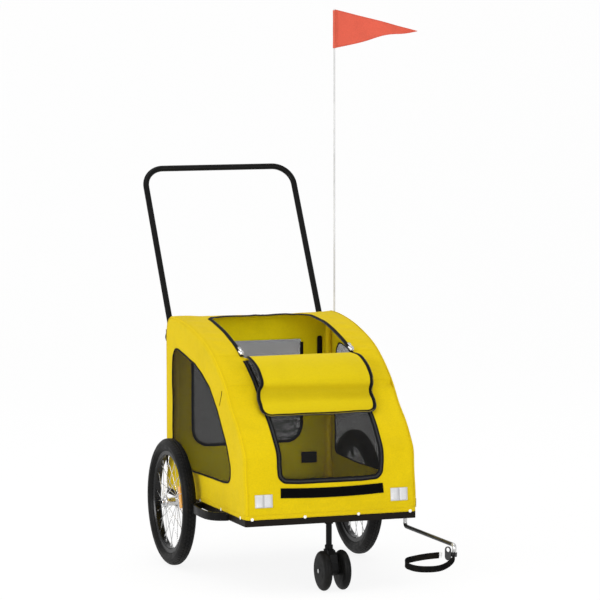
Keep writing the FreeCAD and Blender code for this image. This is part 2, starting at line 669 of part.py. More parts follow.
def safety_strap():
    """flat webbing whose width stays upright along the curve"""
    start = strap_curve.value(strap_curve.FirstParameter)
    tangent = strap_curve.tangent(strap_curve.FirstParameter)[0]
    half_t = V(tangent.y, -tangent.x, 0).normalize() * 0.8
    half_w = V(0, 0, 9.5)
    corners = [start + half_w - half_t, start + half_w + half_t,
               start - half_w + half_t, start - half_w - half_t]
    sweep = Part.BRepOffsetAPI.MakePipeShell(Part.Wire([strap_curve.toShape()]))
    sweep.setBiNormalMode(V(0, 0, 1))
    sweep.add(Part.makePolygon(corners + [corners[0]]))
    sweep.build()
    sweep.makeSolid()
    return sweep.shape()


def strap_clip():
    """small block just beyond the end of the strap"""
    tangent = strap_curve.tangent(strap_curve.LastParameter)[0]
    clip = box(1.5, 10.5, -1.6, 1.6, -9, 9)
    turn_z(clip, math.degrees(math.atan2(tangent.y, tangent.x)))
    clip.translate(strap_curve.value(strap_curve.LastParameter))
    return clip


save(safety_strap(), "safety_strap")
save(strap_clip(), "strap_clip")

# ---------------------------------------------------------------- fabric cover
COVER_T = 3.0
MESH_GAP = -0.15           # mesh outline against its opening
# Door opening in the roof, plan view (x, y)
ROOF_HOLE = [
    (-176, -311), (176, -311), (172, -60), (163, 35), (140, 68), (108, 84), (-108, 84),
    (-146, 66), (-168, 30), (-174, -60)]
# Mesh window in the front (x, z)
FRONT_HOLE = [
    (-147, 338), (-100, 335), (100, 335), (147, 338), (159, 350), (162, 380), (163, 527),
    (170, 640), (-170, 640), (-163, 527), (-162, 380), (-159, 350)]
# Side window (y, z)
SIDE_HOLE = [
    (40, 673), (66, 672), (86, 650), (91, 620), (91, 390), (91, 318), (0, 314), (-97, 310),
    (-401, 316), (-447, 321), (-460, 334), (-461, 365), (-443, 400), (-411, 443), (-375, 489),
    (-337, 531), (-263, 588), (-195, 619), (-129, 643), (-29, 662)]
# Rear window (x, z)
REAR_HOLE = [
    (-182, 356), (-176, 346), (-166, 342), (166, 342), (176, 346), (182, 356), (182, 680),
    (-182, 680)]
cabin_solid = cabin(0.0, RAIL_Z1 + 0.2)


def fabric_cover():
    shell = cabin_solid.cut(cabin(COVER_T, 100.0))
    shell = shell.cut(prism_x(SIDE_HOLE, -300, 300)).cut(prism_y(FRONT_HOLE, -640, -300))
    shell = shell.cut(prism_z(ROOF_HOLE, 640, 900)).cut(prism_y(REAR_HOLE, 120, 200))
    # upright slots in the rear, in line with the handle knuckles
    for x0, x1 in ((-251.0, -241.0), (241.0, 251.0)):
        shell = shell.cut(box(x0, x1, 150, 180, 605, 680))
    return shell


def front_mesh():
    layer = cabin(0.9, 150).cut(cabin(2.1, 140))
    return layer.common(prism_y(grow(FRONT_HOLE, MESH_GAP), -640, -300))


def side_piping():
    rim = prism_x(grow(SIDE_HOLE, 5.0), -276.3, -HALF_WIDTH)
    return rim.cut(prism_x(SIDE_HOLE, -290, -260))


def zip_tape():
    """raised bands round the front window and round the roof door"""
    layer = cabin(-2.6, 150).cut(cabin(0.0, 140)).common(box(-200, 200, -640, 150, 300, 800))
    front = layer.common(prism_y(grow(FRONT_HOLE, 9.0), -640, -357))
    front = front.cut(prism_y(FRONT_HOLE, -650, -300))
    front = front.common(box(-200, 200, -640, -300, 300, 634))
    roof = layer.common(prism_z(grow(ROOF_HOLE, 8.0), 600, 900))
    roof = roof.cut(prism_z(ROOF_HOLE, 590, 900))
    roof = roof.common(box(-200, 200, -305, 200, 600, 900))
    return Part.makeCompound(front.Solids + roof.Solids)


def zip_slider(x):
    """slider with its pull tab, beside the roof door"""
    slider = box(-6, 6, -9, 9, 0, 4.5).fuse(box(-2.5, 2.5, 4, 27, 4.5, 6.3))
    slider.rotate(V(0, 0, 0), V(1, 0, 0), 27.0)
    slider.translate(V(x, -292.0, 692.9))
    return slider


def snap_fasteners():
    snaps = []
    for y in (-552, -372, -174, 130):
        snaps.append(rod_x(5.0, -HALF_WIDTH - 2.4, -HALF_WIDTH, y, 226))
        snaps.append(rod_x(5.0, HALF_WIDTH, HALF_WIDTH + 2.4, y, 226))
    for x in (-254, -86, 86, 254):
        snaps.append(rod_y(5.0, x, -603.6, -600.0, 226).cut(cabin_solid))
    return Part.makeCompound(snaps)


def front_reflectors():
    return Part.makeCompound([box(x0, x1, -607.0, -597.0, 260, 300).cut(cabin_solid)
                              for x0, x1 in ((-245.0, -189.0), (189.0, 245.0))])


save(fabric_cover(), "fabric_cover")
side_mesh = prism_x(grow(SIDE_HOLE, MESH_GAP), -273.4, -272.2)
save(side_mesh, "left_side_mesh")
save(mirror(side_mesh), "right_side_mesh")
save(front_mesh(), "front_mesh")
save(prism_y(grow(REAR_HOLE, MESH_GAP), REAR_Y - 2.1, REAR_Y - 0.9), "rear_mesh")
save(both(side_piping()), "side_window_piping")
save(zip_tape(), "zip_tape")
save(zip_slider(-180.0), "left_zip_slider")
save(zip_slider(180.0), "right_zip_slider")
save(snap_fasteners(), "snap_fasteners")
save(front_reflectors(), "front_reflectors")
save(box(-163, 166, -606.0, -596.0, 285, 315).cut(cabin_solid), "hook_and_loop_strip")

# ---------------------------------------------------------------- opened door flap
# Lower face of the flap in side view (y, z), rear to front
FLAP = [
    (-313, 684.5), (-345, 684), (-385, 674), (-425, 655), (-451, 630), (-461, 606),
    (-460, 585), (-464, 567), (-479, 548), (-509, 522.5)]
FLAP_X0, FLAP_X1 = -172, 186


def door_flap():
    lower = [V(FLAP_X0, y, z) for y, z in FLAP]
    upper = [V(FLAP_X0, y, z) for y, z in offset_points(FLAP, COVER_T)]
    face = Part.Face(Part.Wire([
        spline(lower).toShape(), line(lower[-1], upper[-1]),
        spline(upper[::-1]).toShape(), line(upper[0], lower[0])]))
    return face.extrude(V(FLAP_X1 - FLAP_X0, 0, 0)).cut(cabin_solid)


save(door_flap(), "door_flap")

# ---------------------------------------------------------------- safety flag
POLE_X = 278.6
POLE_Y = 114.5
POLE_R = 3.0
POLE_Z0 = RAIL_Z0 + 2
POLE_TOP = 1737.0
HEM_R = 4.6                # pennant sleeve round the pole
HEM_Z0 = 1613.0
HEM_Z1 = 1733.0


def flag_socket():
    block = box(HALF_WIDTH, 284.0, POLE_Y - 8, POLE_Y + 8, RAIL_Z0, RAIL_Z1 - 4)
    return block.cut(rod_z(POLE_R + 0.02, POLE_X, POLE_Y, POLE_Z0, POLE_Z0 + 40))


def flag_pennant():
    hem_x = POLE_X - HEM_R
    triangle = [(hem_x, HEM_Z0), (hem_x, HEM_Z1), (POLE_X + 265, 1672.0)]
    pennant = prism_y(triangle, POLE_Y - 1.0, POLE_Y + 1.0)
    pennant = pennant.fuse(rod_z(HEM_R, POLE_X, POLE_Y, HEM_Z0, HEM_Z1))
    return pennant.cut(rod_z(POLE_R, POLE_X, POLE_Y, 1500, 1800))


save(flag_socket(), "flag_socket")
save(rod_z(POLE_R, POLE_X, POLE_Y, POLE_Z0, POLE_TOP), "flag_pole")
save(flag_pennant(), "flag_pennant")
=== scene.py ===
"""A folding two-wheeled trailer: yellow fabric cabin with mesh windows, tow arm and safety flag.

Metres. +Z is up, the trailer travels towards -Y, and the origin is on the ground below the
middle of the axle. "Left" is -X and "right" is +X, as in the names of the CAD nodes.
"""
import math
from functools import partial

import bmesh
import bpy
import numpy as np
from mathutils import Matrix, Vector, noise
from mathutils.geometry import delaunay_2d_cdt


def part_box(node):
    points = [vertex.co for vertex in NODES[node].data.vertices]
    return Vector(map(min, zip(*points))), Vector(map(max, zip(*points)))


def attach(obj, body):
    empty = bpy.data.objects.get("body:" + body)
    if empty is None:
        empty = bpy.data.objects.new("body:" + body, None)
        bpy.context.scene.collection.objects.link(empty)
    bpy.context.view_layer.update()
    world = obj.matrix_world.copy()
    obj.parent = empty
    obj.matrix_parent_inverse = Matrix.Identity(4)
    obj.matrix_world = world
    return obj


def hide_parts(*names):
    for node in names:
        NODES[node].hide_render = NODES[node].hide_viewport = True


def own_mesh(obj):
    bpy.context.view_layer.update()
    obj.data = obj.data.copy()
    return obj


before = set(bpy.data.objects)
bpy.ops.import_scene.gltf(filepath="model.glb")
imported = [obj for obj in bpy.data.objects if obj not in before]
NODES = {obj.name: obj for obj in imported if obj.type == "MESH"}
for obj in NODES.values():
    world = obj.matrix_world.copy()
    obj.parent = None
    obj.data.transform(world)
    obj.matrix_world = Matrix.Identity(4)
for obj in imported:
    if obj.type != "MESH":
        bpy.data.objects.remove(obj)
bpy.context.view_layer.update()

SIDES = ((-1, "left"), (1, "right"))


def mm(points):
    return np.array(points, float) / 1000.0


# ---------------------------------------------------------------- driving dimensions
HALF_WIDTH = 0.27425    # of the cabin
EDGE_RADIUS = 0.012     # of the cabin's long edges
FABRIC_T = 0.0012
COVER_Z = 0.2242        # lower edge of the cover
FRONT_Y, REAR_Y = -0.600, 0.165     # lower corners of the cabin
NET_STEP = 0.011        # triangle size of the mesh windows
NET_SINK = -0.0008      # the windows lie just under the fabric
SLOT_X = 0.246          # middle of the slots in the rear wall
WHEEL_X, WHEEL_Z = 0.3108, 0.2
POLE_X, POLE_Y = 0.2786, 0.1145

# Cabin side view, (y, z) in mm, from the front foot over the roof and down the rear
OUTLINE = mm([
    (-602.5, 262), (-599, 300), (-594, 326), (-589, 372), (-585, 412), (-559, 452), (-523, 494),
    (-468, 541), (-417, 598), (-358, 647), (-267, 701), (-173, 734), (-108, 750), (-31, 763),
    (45, 771), (100, 773), (134, 768), (154, 749), (163, 722), (165, 690)])
# Openings in mm: roof (x, y), front and rear (x, z), side (y, z)
ROOF_HOLE = mm([
    (-176, -311), (176, -311), (172, -60), (163, 35), (140, 68), (108, 84), (-108, 84),
    (-146, 66), (-168, 30), (-174, -60)])
FRONT_HOLE = mm([
    (-147, 338), (-100, 335), (100, 335), (147, 338), (159, 350), (162, 380), (163, 527),
    (174, 678), (-174, 678), (-163, 527), (-162, 380), (-159, 350)])
SIDE_HOLE = mm([
    (40, 673), (66, 672), (86, 650), (91, 620), (91, 390), (91, 318), (0, 314), (-97, 310),
    (-401, 316), (-447, 321), (-460, 334), (-461, 365), (-443, 400), (-411, 443), (-375, 489),
    (-337, 531), (-263, 588), (-195, 619), (-129, 643), (-29, 662)])
REAR_HOLE = mm([
    (-182, 404), (-179, 386), (-170, 370), (-156, 359), (-138, 353), (138, 353), (156, 359),
    (170, 370), (179, 386), (182, 404), (182, 680), (-182, 680)])
# Side view of the opened door flap, (y, z) in mm, from its seam on the roof down to its free end
FLAP = mm([
    (-313, 684.5), (-345, 684), (-385, 674), (-425, 655), (-451, 630), (-461, 606), (-460, 585),
    (-464, 567), (-479, 548), (-509, 522.5)])
# Middle of the safety strap, (x, y, z) in mm; the last point is near the clip
STRAP = mm([
    (258.0, -939.2, 148.5), (253.0, -948.0, 137.0), (234.0, -959.0, 122.5),
    (202.0, -972.0, 113.3), (153.0, -980.0, 113.0), (113.0, -972.0, 118.5),
    (98.0, -955.0, 126.0), (104.0, -938.0, 132.0), (130.0, -921.0, 135.3),
    (181.0, -904.0, 137.4), (228.0, -893.0, 137.3)])


# ---------------------------------------------------------------- lines and outlines
def lengths(points):
    """Distance along a line at each of its points."""
    return np.concatenate([[0], np.cumsum(np.linalg.norm(np.diff(points, axis=0), axis=1))])


def unit(vectors):
    return vectors / np.maximum(np.linalg.norm(vectors, axis=1), 1e-12)[:, None]


def lookup(at, stations, values):
    """Every column of values interpolated at the given stations."""
    return np.stack([np.interp(at, stations, column) for column in values.T], -1)


def cubic(points, step):
    """Natural cubic spline through the points, sampled about every step."""
    pts = np.array(points, float)
    knots = lengths(pts)
    count, gap = len(pts), np.diff(knots)
    system, target = np.zeros((count, count)), np.zeros(pts.shape)
    system[0, 0] = system[-1, -1] = 1
    for i in range(1, count - 1):
        system[i, i - 1:i + 2] = gap[i - 1], 2 * (gap[i - 1] + gap[i]), gap[i]
        target[i] = 6 * ((pts[i + 1] - pts[i]) / gap[i] - (pts[i] - pts[i - 1]) / gap[i - 1])
    bend = np.linalg.solve(system, target)
    at = np.linspace(0, knots[-1], max(3, int(knots[-1] / step) + 1))
    k = np.clip(np.searchsorted(knots, at, side="right") - 1, 0, count - 2)
    ahead, past = (knots[k + 1] - at)[:, None], (at - knots[k])[:, None]
    span = gap[k][:, None]
    return ((bend[k] * ahead ** 3 + bend[k + 1] * past ** 3) / (6 * span)
            + (pts[k] / span - bend[k] * span / 6) * ahead
            + (pts[k + 1] / span - bend[k + 1] * span / 6) * past)


def resample(points, step, closed=False):
    pts = np.array(points, float)
    if closed:
        pts = np.vstack([pts, pts[:1]])
    stations = lengths(pts)
    at = np.linspace(0, stations[-1], max(2, int(round(stations[-1] / step))) + 1)
    return lookup(at[:-1] if closed else at, stations, pts)


def spaced(start, end, step):
    """Even stations from start to end, about a step apart."""
    return resample([[start], [end]], step)[:, 0]


def rectangle(x0, y0, x1, y1):
    return [(x0, y0), (x1, y0), (x1, y1), (x0, y1)]


def rounded(points, radius, step=0.003):
    """Closed polygon with its corners turned into arcs."""
    pts = np.array(points, float)
    out = []
    for i, corner in enumerate(pts):
        back, ahead = pts[i - 1] - corner, pts[(i + 1) % len(pts)] - corner
        back_len, ahead_len = np.linalg.norm(back), np.linalg.norm(ahead)
        back, ahead = back / back_len, ahead / ahead_len
        angle = math.acos(max(-1, min(1, float(back @ ahead))))
        if angle > math.radians(176):
            out.append(corner)
            continue
        cut = min(radius / math.tan(angle / 2), 0.48 * back_len, 0.48 * ahead_len)
        start, end = corner + back * cut, corner + ahead * cut
        for t in np.linspace(0, 1, 7):
            out.append((1 - t) ** 2 * start + 2 * t * (1 - t) * corner + t * t * end)
    return resample(out, step, closed=True)


def area(loop):
    """Signed area, positive when the loop runs anticlockwise."""
    x, y = loop[:, 0], loop[:, 1]
    return 0.5 * float(np.sum(x * np.roll(y, -1) - np.roll(x, -1) * y))


def grow(loop, distance):
    """Closed smooth loop moved outward in its own plane."""
    tangent = unit(np.roll(loop, -1, 0) - np.roll(loop, 1, 0))
    outward = np.stack([tangent[:, 1], -tangent[:, 0]], 1) * (1 if area(loop) > 0 else -1)
    return loop + outward * distance


def open_part(loop, keep):
    """The run of a closed loop for which keep() holds, in order."""
    kept = keep(loop)
    start = -int(np.argmin(kept))
    return np.roll(loop, start, 0)[np.roll(kept, start)]


def inside(points, loop):
    x, y = points[:, 0][:, None], points[:, 1][:, None]
    x0, y0 = loop[:, 0], loop[:, 1]
    x1, y1 = np.roll(x0, -1), np.roll(y0, -1)
    out = np.zeros(len(points), bool)
    for k in range(0, len(points), 4000):
        xs, ys = x[k:k + 4000], y[k:k + 4000]
        crosses = (y0 > ys) != (y1 > ys)
        with np.errstate(divide="ignore", invalid="ignore"):
            cross_x = (x1 - x0) * (ys - y0) / (y1 - y0) + x0
        out[k:k + 4000] = (np.sum(crosses & (xs < cross_x), axis=1) % 2) == 1
    return out


def distance_to(points, loops):
    """Distance of each point from the nearest loop."""
    best = np.full(len(points), 1e9)
    for loop in loops:
        edge = np.roll(loop, -1, 0) - loop
        edge_sq = np.maximum((edge ** 2).sum(1), 1e-15)
        for k in range(0, len(points), 2000):
            offset = points[k:k + 2000][:, None, :] - loop[None]
            t = np.clip((offset * edge).sum(2) / edge_sq, 0, 1)
            gap = np.sqrt(((offset - t[..., None] * edge) ** 2).sum(2).min(1))
            best[k:k + 2000] = np.minimum(best[k:k + 2000], gap)
    return best


def triangles(outer, holes, step):
    """Flat triangle mesh inside outer and outside the holes: (points, faces)."""
    def in_cloth(points):
        keep = inside(points, outer)
        for hole in holes:
            keep &= ~inside(points, hole)
        return keep

    low, high = outer.min(0), outer.max(0)
    xs = np.arange(low[0], high[0], step)
    ys = np.arange(low[1], high[1], step * 0.866)
    grid = np.array([(x + (step / 2 if j % 2 else 0), y) for j, y in enumerate(ys) for x in xs])
    grid = grid[in_cloth(grid)]
    grid = grid[distance_to(grid, [outer] + holes) > 0.5 * step]
    pts, edges = [], []
    for loop in [outer] + holes:
        first, count = len(pts), len(loop)
        pts += [Vector(p) for p in loop]
        edges += [(first + i, first + (i + 1) % count) for i in range(count)]
    pts += [Vector(p) for p in grid]
    verts, _, faces = delaunay_2d_cdt(pts, edges, [], 0, 1e-7)[:3]
    verts = np.array([tuple(p) for p in verts])
    faces = np.array([tuple(face) for face in faces if len(face) == 3])
    return verts, faces[in_cloth(verts[faces].mean(1))]


def fbm(x, y, octaves, seed):
    """Fractal noise at each (x, y)."""
    return np.array([noise.fractal(Vector((px, py, seed)), 0.9, 2.0, octaves,
                                   noise_basis="PERLIN_ORIGINAL") for px, py in zip(x, y)])


def smooth01(t):
    t = np.clip(t, 0, 1)
    return t * t * (3 - 2 * t)


def bell(value, centre, width):
    return np.exp(-((value - centre) / width) ** 2)


# ---------------------------------------------------------------- the cabin surface
# The front, roof and rear are one sheet with coordinates (u, s): u runs across the cabin and
# round its long edges, s runs along the profile from the front foot to the rear foot.
spline = cubic(OUTLINE, 0.002)
PROFILE = resample(np.vstack([
    resample([(FRONT_Y, COVER_Z), spline[0]], 0.002)[:-1], spline,
    resample([spline[-1], (REAR_Y, COVER_Z)], 0.002)[1:]]), 0.002)
PROFILE_S = lengths(PROFILE)
S_END = PROFILE_S[-1]
blur = np.exp(-np.linspace(-2, 2, 9) ** 2)
blur /= blur.sum()
slope = np.gradient(PROFILE, axis=0)
slope = unit(np.stack([np.convolve(np.pad(slope[:, i], 4, mode="edge"), blur, "valid")
                       for i in (0, 1)], 1))
PROFILE_N = np.stack([-slope[:, 1], slope[:, 0]], 1)
TOP = int(np.argmax(PROFILE[:, 1]))
FOREMOST = int(np.argmin(PROFILE[:, 0]))


def s_front(z):
    return np.interp(z, PROFILE[:TOP + 1, 1], PROFILE_S[:TOP + 1])


def s_roof(y):
    return np.interp(y, PROFILE[FOREMOST:TOP + 20, 0], PROFILE_S[FOREMOST:TOP + 20])


def s_rear(z):
    return np.interp(-np.asarray(z), -PROFILE[TOP:, 1], PROFILE_S[TOP:])


U_FLAT = HALF_WIDTH - EDGE_RADIUS
U_MAX = U_FLAT + EDGE_RADIUS * math.pi / 2
SEAMS = [float(s_roof(-0.300)), float(s_roof(-0.410))]


def sheet_bump(u, s):
    """How far the fabric stands off the ideal cabin surface."""
    across = np.abs(u)
    # the roof sags between its edges
    roof = smooth01((s - s_front(0.50)) / 0.12) * smooth01((s_rear(0.70) - s) / 0.08)
    bump = -0.0050 * roof * (1 - (across / U_MAX) ** 2)
    # broad waves, fine wrinkles and drag lines beside the long edges
    bump = bump + 0.0030 * fbm(u * 7.0, s * 5.0, octaves=2, seed=3.1)
    bump = bump + 0.0012 * fbm(u * 21.0, s * 15.0, octaves=3, seed=8.7)
    drag = np.sin(s * 95.0 + 3.0 * fbm(u * 6, s * 6, octaves=1, seed=1.0))
    bump = bump + 0.0009 * bell(across, 0.225, 0.03) * drag
    # held flat at the front foot
    bump = bump * (1 - 0.85 * bell(s, 0.0, 0.035))
    # a groove and a ridge at each cross seam
    for seam in SEAMS:
        bump = bump - 0.0011 * bell(s, seam, 0.0022) * (across > 0.19)
        bump = bump + 0.0010 * bell(s, seam + 0.010, 0.006) * (across > 0.19)
    return bump * smooth01((U_MAX - across) / 0.045)


def sheet(u, s, height=0.0):
    """Points and normals of the sheet at (u, s), raised by height."""
    u, s = np.asarray(u, float), np.asarray(s, float)
    across, sign = np.abs(u), np.where(u < 0, -1.0, 1.0)
    turn = np.clip((across - U_FLAT) / EDGE_RADIUS, 0, math.pi / 2)
    x = sign * np.where(across < U_FLAT, across, U_FLAT + EDGE_RADIUS * np.sin(turn))
    drop = EDGE_RADIUS * (1 - np.cos(turn))
    y, z = lookup(s, PROFILE_S, PROFILE).T
    ny, nz = unit(lookup(s, PROFILE_S, PROFILE_N)).T
    points = np.stack([x, y - ny * drop, z - nz * drop], 1)
    normals = np.stack([sign * np.sin(turn), ny * np.cos(turn), nz * np.cos(turn)], 1)
    return points + normals * (sheet_bump(u, s) + height)[:, None], normals


rim_s = spaced(0.0, S_END, 0.007)
rim_yz = lookup(rim_s, PROFILE_S, PROFILE) - lookup(rim_s, PROFILE_S, PROFILE_N) * EDGE_RADIUS
SIDE_OUTER = np.vstack([rim_yz, resample([rim_yz[-1], rim_yz[0]], 0.007)[1:-1]])

# Sharp crease beside the left window: its middle and its direction
CREASE_Y, CREASE_Z = -0.380, 0.567
CREASE_DY, CREASE_DZ = -0.42, 0.907


def side_bump(y, z, sign):
    fade = smooth01(distance_to(np.stack([y, z], 1), [SIDE_OUTER]) / 0.045)
    # broad waves, fine wrinkles and a groove above the hem
    bump = 0.0022 * fbm(y * 6.0, z * 6.0, octaves=2, seed=5.0 + 9 * sign)
    bump = bump + 0.0009 * fbm(y * 22.0, z * 22.0, octaves=3, seed=2.0 + 5 * sign)
    bump = (bump - 0.0010 * bell(z, 0.262, 0.02)) * fade
    if sign < 0:
        dy, dz = y - CREASE_Y, z - CREASE_Z
        along = dy * CREASE_DY + dz * CREASE_DZ
        across = -dy * CREASE_DZ + dz * CREASE_DY + 6.0 * along ** 2
        bump = bump + np.exp(-(along / 0.020) ** 4) * 0.0020 * bell(across, 0.006, 0.009)
    return bump


def side(y, z, height=0.0, *, sign):
    """Points and normals of a side panel at (y, z), raised by height."""
    y, z = np.asarray(y, float), np.asarray(z, float)
    normals = np.zeros((len(y), 3))
    normals[:, 0] = sign
    points = np.stack([np.full(len(y), sign * HALF_WIDTH), y, z], 1)
    return points + normals * (side_bump(y, z, sign) + height)[:, None], normals


def lay(flat_points, surface=sheet, height=0.0):
    """Two-column points put on a surface: (points, normals)."""
    return surface(flat_points[:, 0], flat_points[:, 1], height)


# ---------------------------------------------------------------- mesh building
def quads(rows, cols, wrap_rows=False, wrap_cols=True, flip=False):
    """Faces of a grid of vertices stored row by row."""
    faces = []
    for row in range(rows if wrap_rows else rows - 1):
        here, there = row * cols, (row + 1) % rows * cols
        for col in range(cols if wrap_cols else cols - 1):
            beside = (col + 1) % cols
            face = (here + col, here + beside, there + beside, there + col)
            faces.append((face[0], face[3], face[2], face[1]) if flip else face)
    return faces


def caps(rows, cols):
    """The two end faces of a stack of rings."""
    return [tuple(range(cols - 1, -1, -1)), tuple(range((rows - 1) * cols, rows * cols))]


def facing(points, faces, outward):
    """Triangles turned to look along the outward directions."""
    out = []
    for face in faces:
        a, b, c = (points[i] for i in face)
        out.append(face if np.cross(b - a, c - a) @ outward[face[0]] > 0 else face[::-1])
    return out


def link_object(name, data):
    obj = bpy.data.objects.new(name, data)
    bpy.context.scene.collection.objects.link(obj)
    return obj


def new_object(name, verts, faces, mat, uv=None):
    mesh = bpy.data.meshes.new(name)
    mesh.from_pydata([tuple(map(float, v)) for v in verts], [],
                     [tuple(int(i) for i in face) for face in faces])
    mesh.update()
    if uv is not None:
        layer = mesh.uv_layers.new(name="UVMap")
        index = np.zeros(len(mesh.loops), np.int32)
        mesh.loops.foreach_get("vertex_index", index)
        layer.data.foreach_set("uv", np.asarray(uv, np.float32)[index].ravel())
    mesh.polygons.foreach_set("use_smooth", [True] * len(mesh.polygons))
    mesh.materials.append(mat)
    return link_object(name, mesh)


def thicken(obj, thickness, inner_slot=0):
    solid = obj.modifiers.new("thickness", "SOLIDIFY")
    solid.thickness = thickness
    solid.offset = -1.0
    solid.material_offset = inner_slot


def frames(path, up, closed=False):
    """Tangent, up and sideways directions along a path; up may be a single direction."""
    path, up = np.asarray(path, float), np.asarray(up, float)
    if closed:
        tangent = np.roll(path, -1, 0) - np.roll(path, 1, 0)
    else:
        tangent = np.gradient(path, axis=0)
    tangent = unit(tangent)
    up = unit(up - (up * tangent).sum(1)[:, None] * tangent)
    return tangent, up, np.cross(tangent, up)


def rail(path, up, offset, closed=False):
    """Path moved sideways: its length, and a function giving (centre, tangent, up, across)."""
    path = np.asarray(path, float)
    if closed:
        path, up = np.vstack([path, path[:1]]), np.vstack([up, up[:1]])
    tangent, up, across = frames(path, up)
    centre = path + across * offset
    stations = lengths(centre)
    table = np.hstack([centre, tangent, up, across])
    return stations[-1], lambda at: lookup(at, stations, table).reshape(4, 3)


def away_sign(points, normals, centre):
    """1 if the sideways direction of a line points away from centre, otherwise -1."""
    return 1 if float(((points - centre) * frames(points, normals)[2]).sum()) > 0 else -1


def flat(width, low, high, edge=0.0006):
    """Tape section between two heights, with softened top edges."""
    a = width / 2
    return [(-a, low), (-a, high - edge), (-a + edge, high), (-a * 0.33, high),
            (a * 0.33, high), (a - edge, high), (a, high - edge), (a, low)]


def round_section(radius, count, squash=1.0, lift=0.0):
    turns = [2 * math.pi * i / count for i in range(count)]
    return [(radius * math.cos(t), lift + radius * squash * math.sin(t)) for t in turns]


class Bag:
    """Several meshes gathered into one piece."""

    def __init__(self):
        self.verts, self.faces, self.uv = [], [], []

    def add(self, verts, faces, uv=None):
        first = len(self.verts)
        self.verts += [tuple(map(float, v)) for v in verts]
        self.faces += [tuple(int(i) + first for i in face) for face in faces]
        uv = np.zeros((len(verts), 2)) if uv is None else uv
        self.uv += [tuple(map(float, p)) for p in uv]

    def make(self, name, mat):
        return new_object(name, self.verts, self.faces, mat, self.uv)

    def sweep(self, path, up, section, closed=False, scale=1.0):
        """Section [(across, height)...] carried along the path, with UVs in metres."""
        path, section = np.asarray(path, float), np.array(section, float)
        _, up, across = frames(path, up, closed)
        rows, cols = len(path), len(section)
        wide = np.broadcast_to(scale, rows)[:, None, None]
        verts = (path[:, None, :] + across[:, None, :] * section[None, :, 0:1] * wide
                 + up[:, None, :] * section[None, :, 1:2]).reshape(-1, 3)
        uv = np.stack([np.repeat(lengths(path), cols), np.tile(section[:, 0], rows)], 1)
        ends = [] if closed else caps(rows, cols)
        self.add(verts, quads(rows, cols, wrap_rows=closed) + ends, uv)

    def stitches(self, path, up, offsets, height, closed=False, length=0.0032, pitch=0.0048,
                 radius=0.00042):
        """Rows of sewn thread along the path, one for each sideways offset."""
        ring = [(math.cos(math.pi * k / 2.0), math.sin(math.pi * k / 2.0)) for k in range(4)]
        # along the stitch, share of the radius, lift
        rings = ((-0.5, 0.35, -0.0002), (-0.25, 1, 0.0002), (0.25, 1, 0.0002),
                 (0.5, 0.35, -0.0002))
        for offset in offsets:
            total, sample = rail(path, up, offset, closed)
            at = pitch / 2
            while at < total - pitch / 2:
                verts = []
                for along, share, lift in rings:
                    centre, _, rise, across = sample(at + along * length)
                    verts += [centre + across * x * radius * share
                              + rise * (height + lift + y * radius * share) for x, y in ring]
                self.add(verts, quads(4, 4) + caps(4, 4))
                at += pitch

    def teeth(self, path, up, offset, height, width, tall=0.0013):
        """The coil of a zip as a row of small rounded bars."""
        pitch, thick, skew = 0.0028, 0.0016, 0.0006
        section = [(-0.5, 0), (-0.5, 0.55), (-0.28, 1), (0.28, 1), (0.5, 0.55), (0.5, 0)]
        total, sample = rail(path, up, offset)
        at = pitch
        while at < total - pitch:
            centre, tangent, rise, across = sample(at)
            verts = [centre + across * x * width + tangent * (end * thick + x * skew)
                     + rise * (height + y * tall) for end in (-0.5, 0.5) for x, y in section]
            self.add(verts, quads(2, 6) + caps(2, 6))
            at += pitch

    def lathe(self, outline, origin, axis, count):
        """Outline of (along, radius) turned about an axis."""
        axis = Vector(axis).normalized()
        first = axis.orthogonal().normalized()
        second = axis.cross(first)
        verts, uv = [], []
        for i in range(count):
            turn = 2 * math.pi * i / count
            spoke = first * math.cos(turn) + second * math.sin(turn)
            for along, radius in outline:
                verts.append(Vector(origin) + axis * along + spoke * radius)
                uv.append((turn * 0.01, along))
        self.add(verts, quads(count, len(outline), wrap_rows=True, wrap_cols=False, flip=True),
                 uv)

    def prism(self, outline, low, high, bevel, matrix):
        """Flat outline given thickness, with its top and bottom edges bevelled."""
        outer = np.array(outline, float)
        if area(outer) < 0:
            outer = outer[::-1]
        inner = grow(outer, -bevel)
        rings = [(inner, low), (outer, low + bevel), (outer, high - bevel), (inner, high)]
        verts = [tuple(matrix @ Vector((p[0], p[1], z))) for ring, z in rings for p in ring]
        self.add(verts, quads(4, len(outer)) + caps(4, len(outer)),
                 [(p[0], p[1]) for ring, z in rings for p in ring])


# ---------------------------------------------------------------- material building
BLACK = (0.0, 0.0, 0.0)


def grey(value):
    return (value, value, value)


def lin(*srgb):
    """8-bit sRGB to linear colour."""
    shares = [value / 255.0 for value in srgb]
    return tuple(x / 12.92 if x <= 0.04045 else ((x + 0.055) / 1.055) ** 2.4 for x in shares)


def shade(color, factor):
    return tuple(min(1, x * factor) for x in color)


def rgba(color):
    return color if isinstance(color, bpy.types.NodeSocket) else (*color, 1)


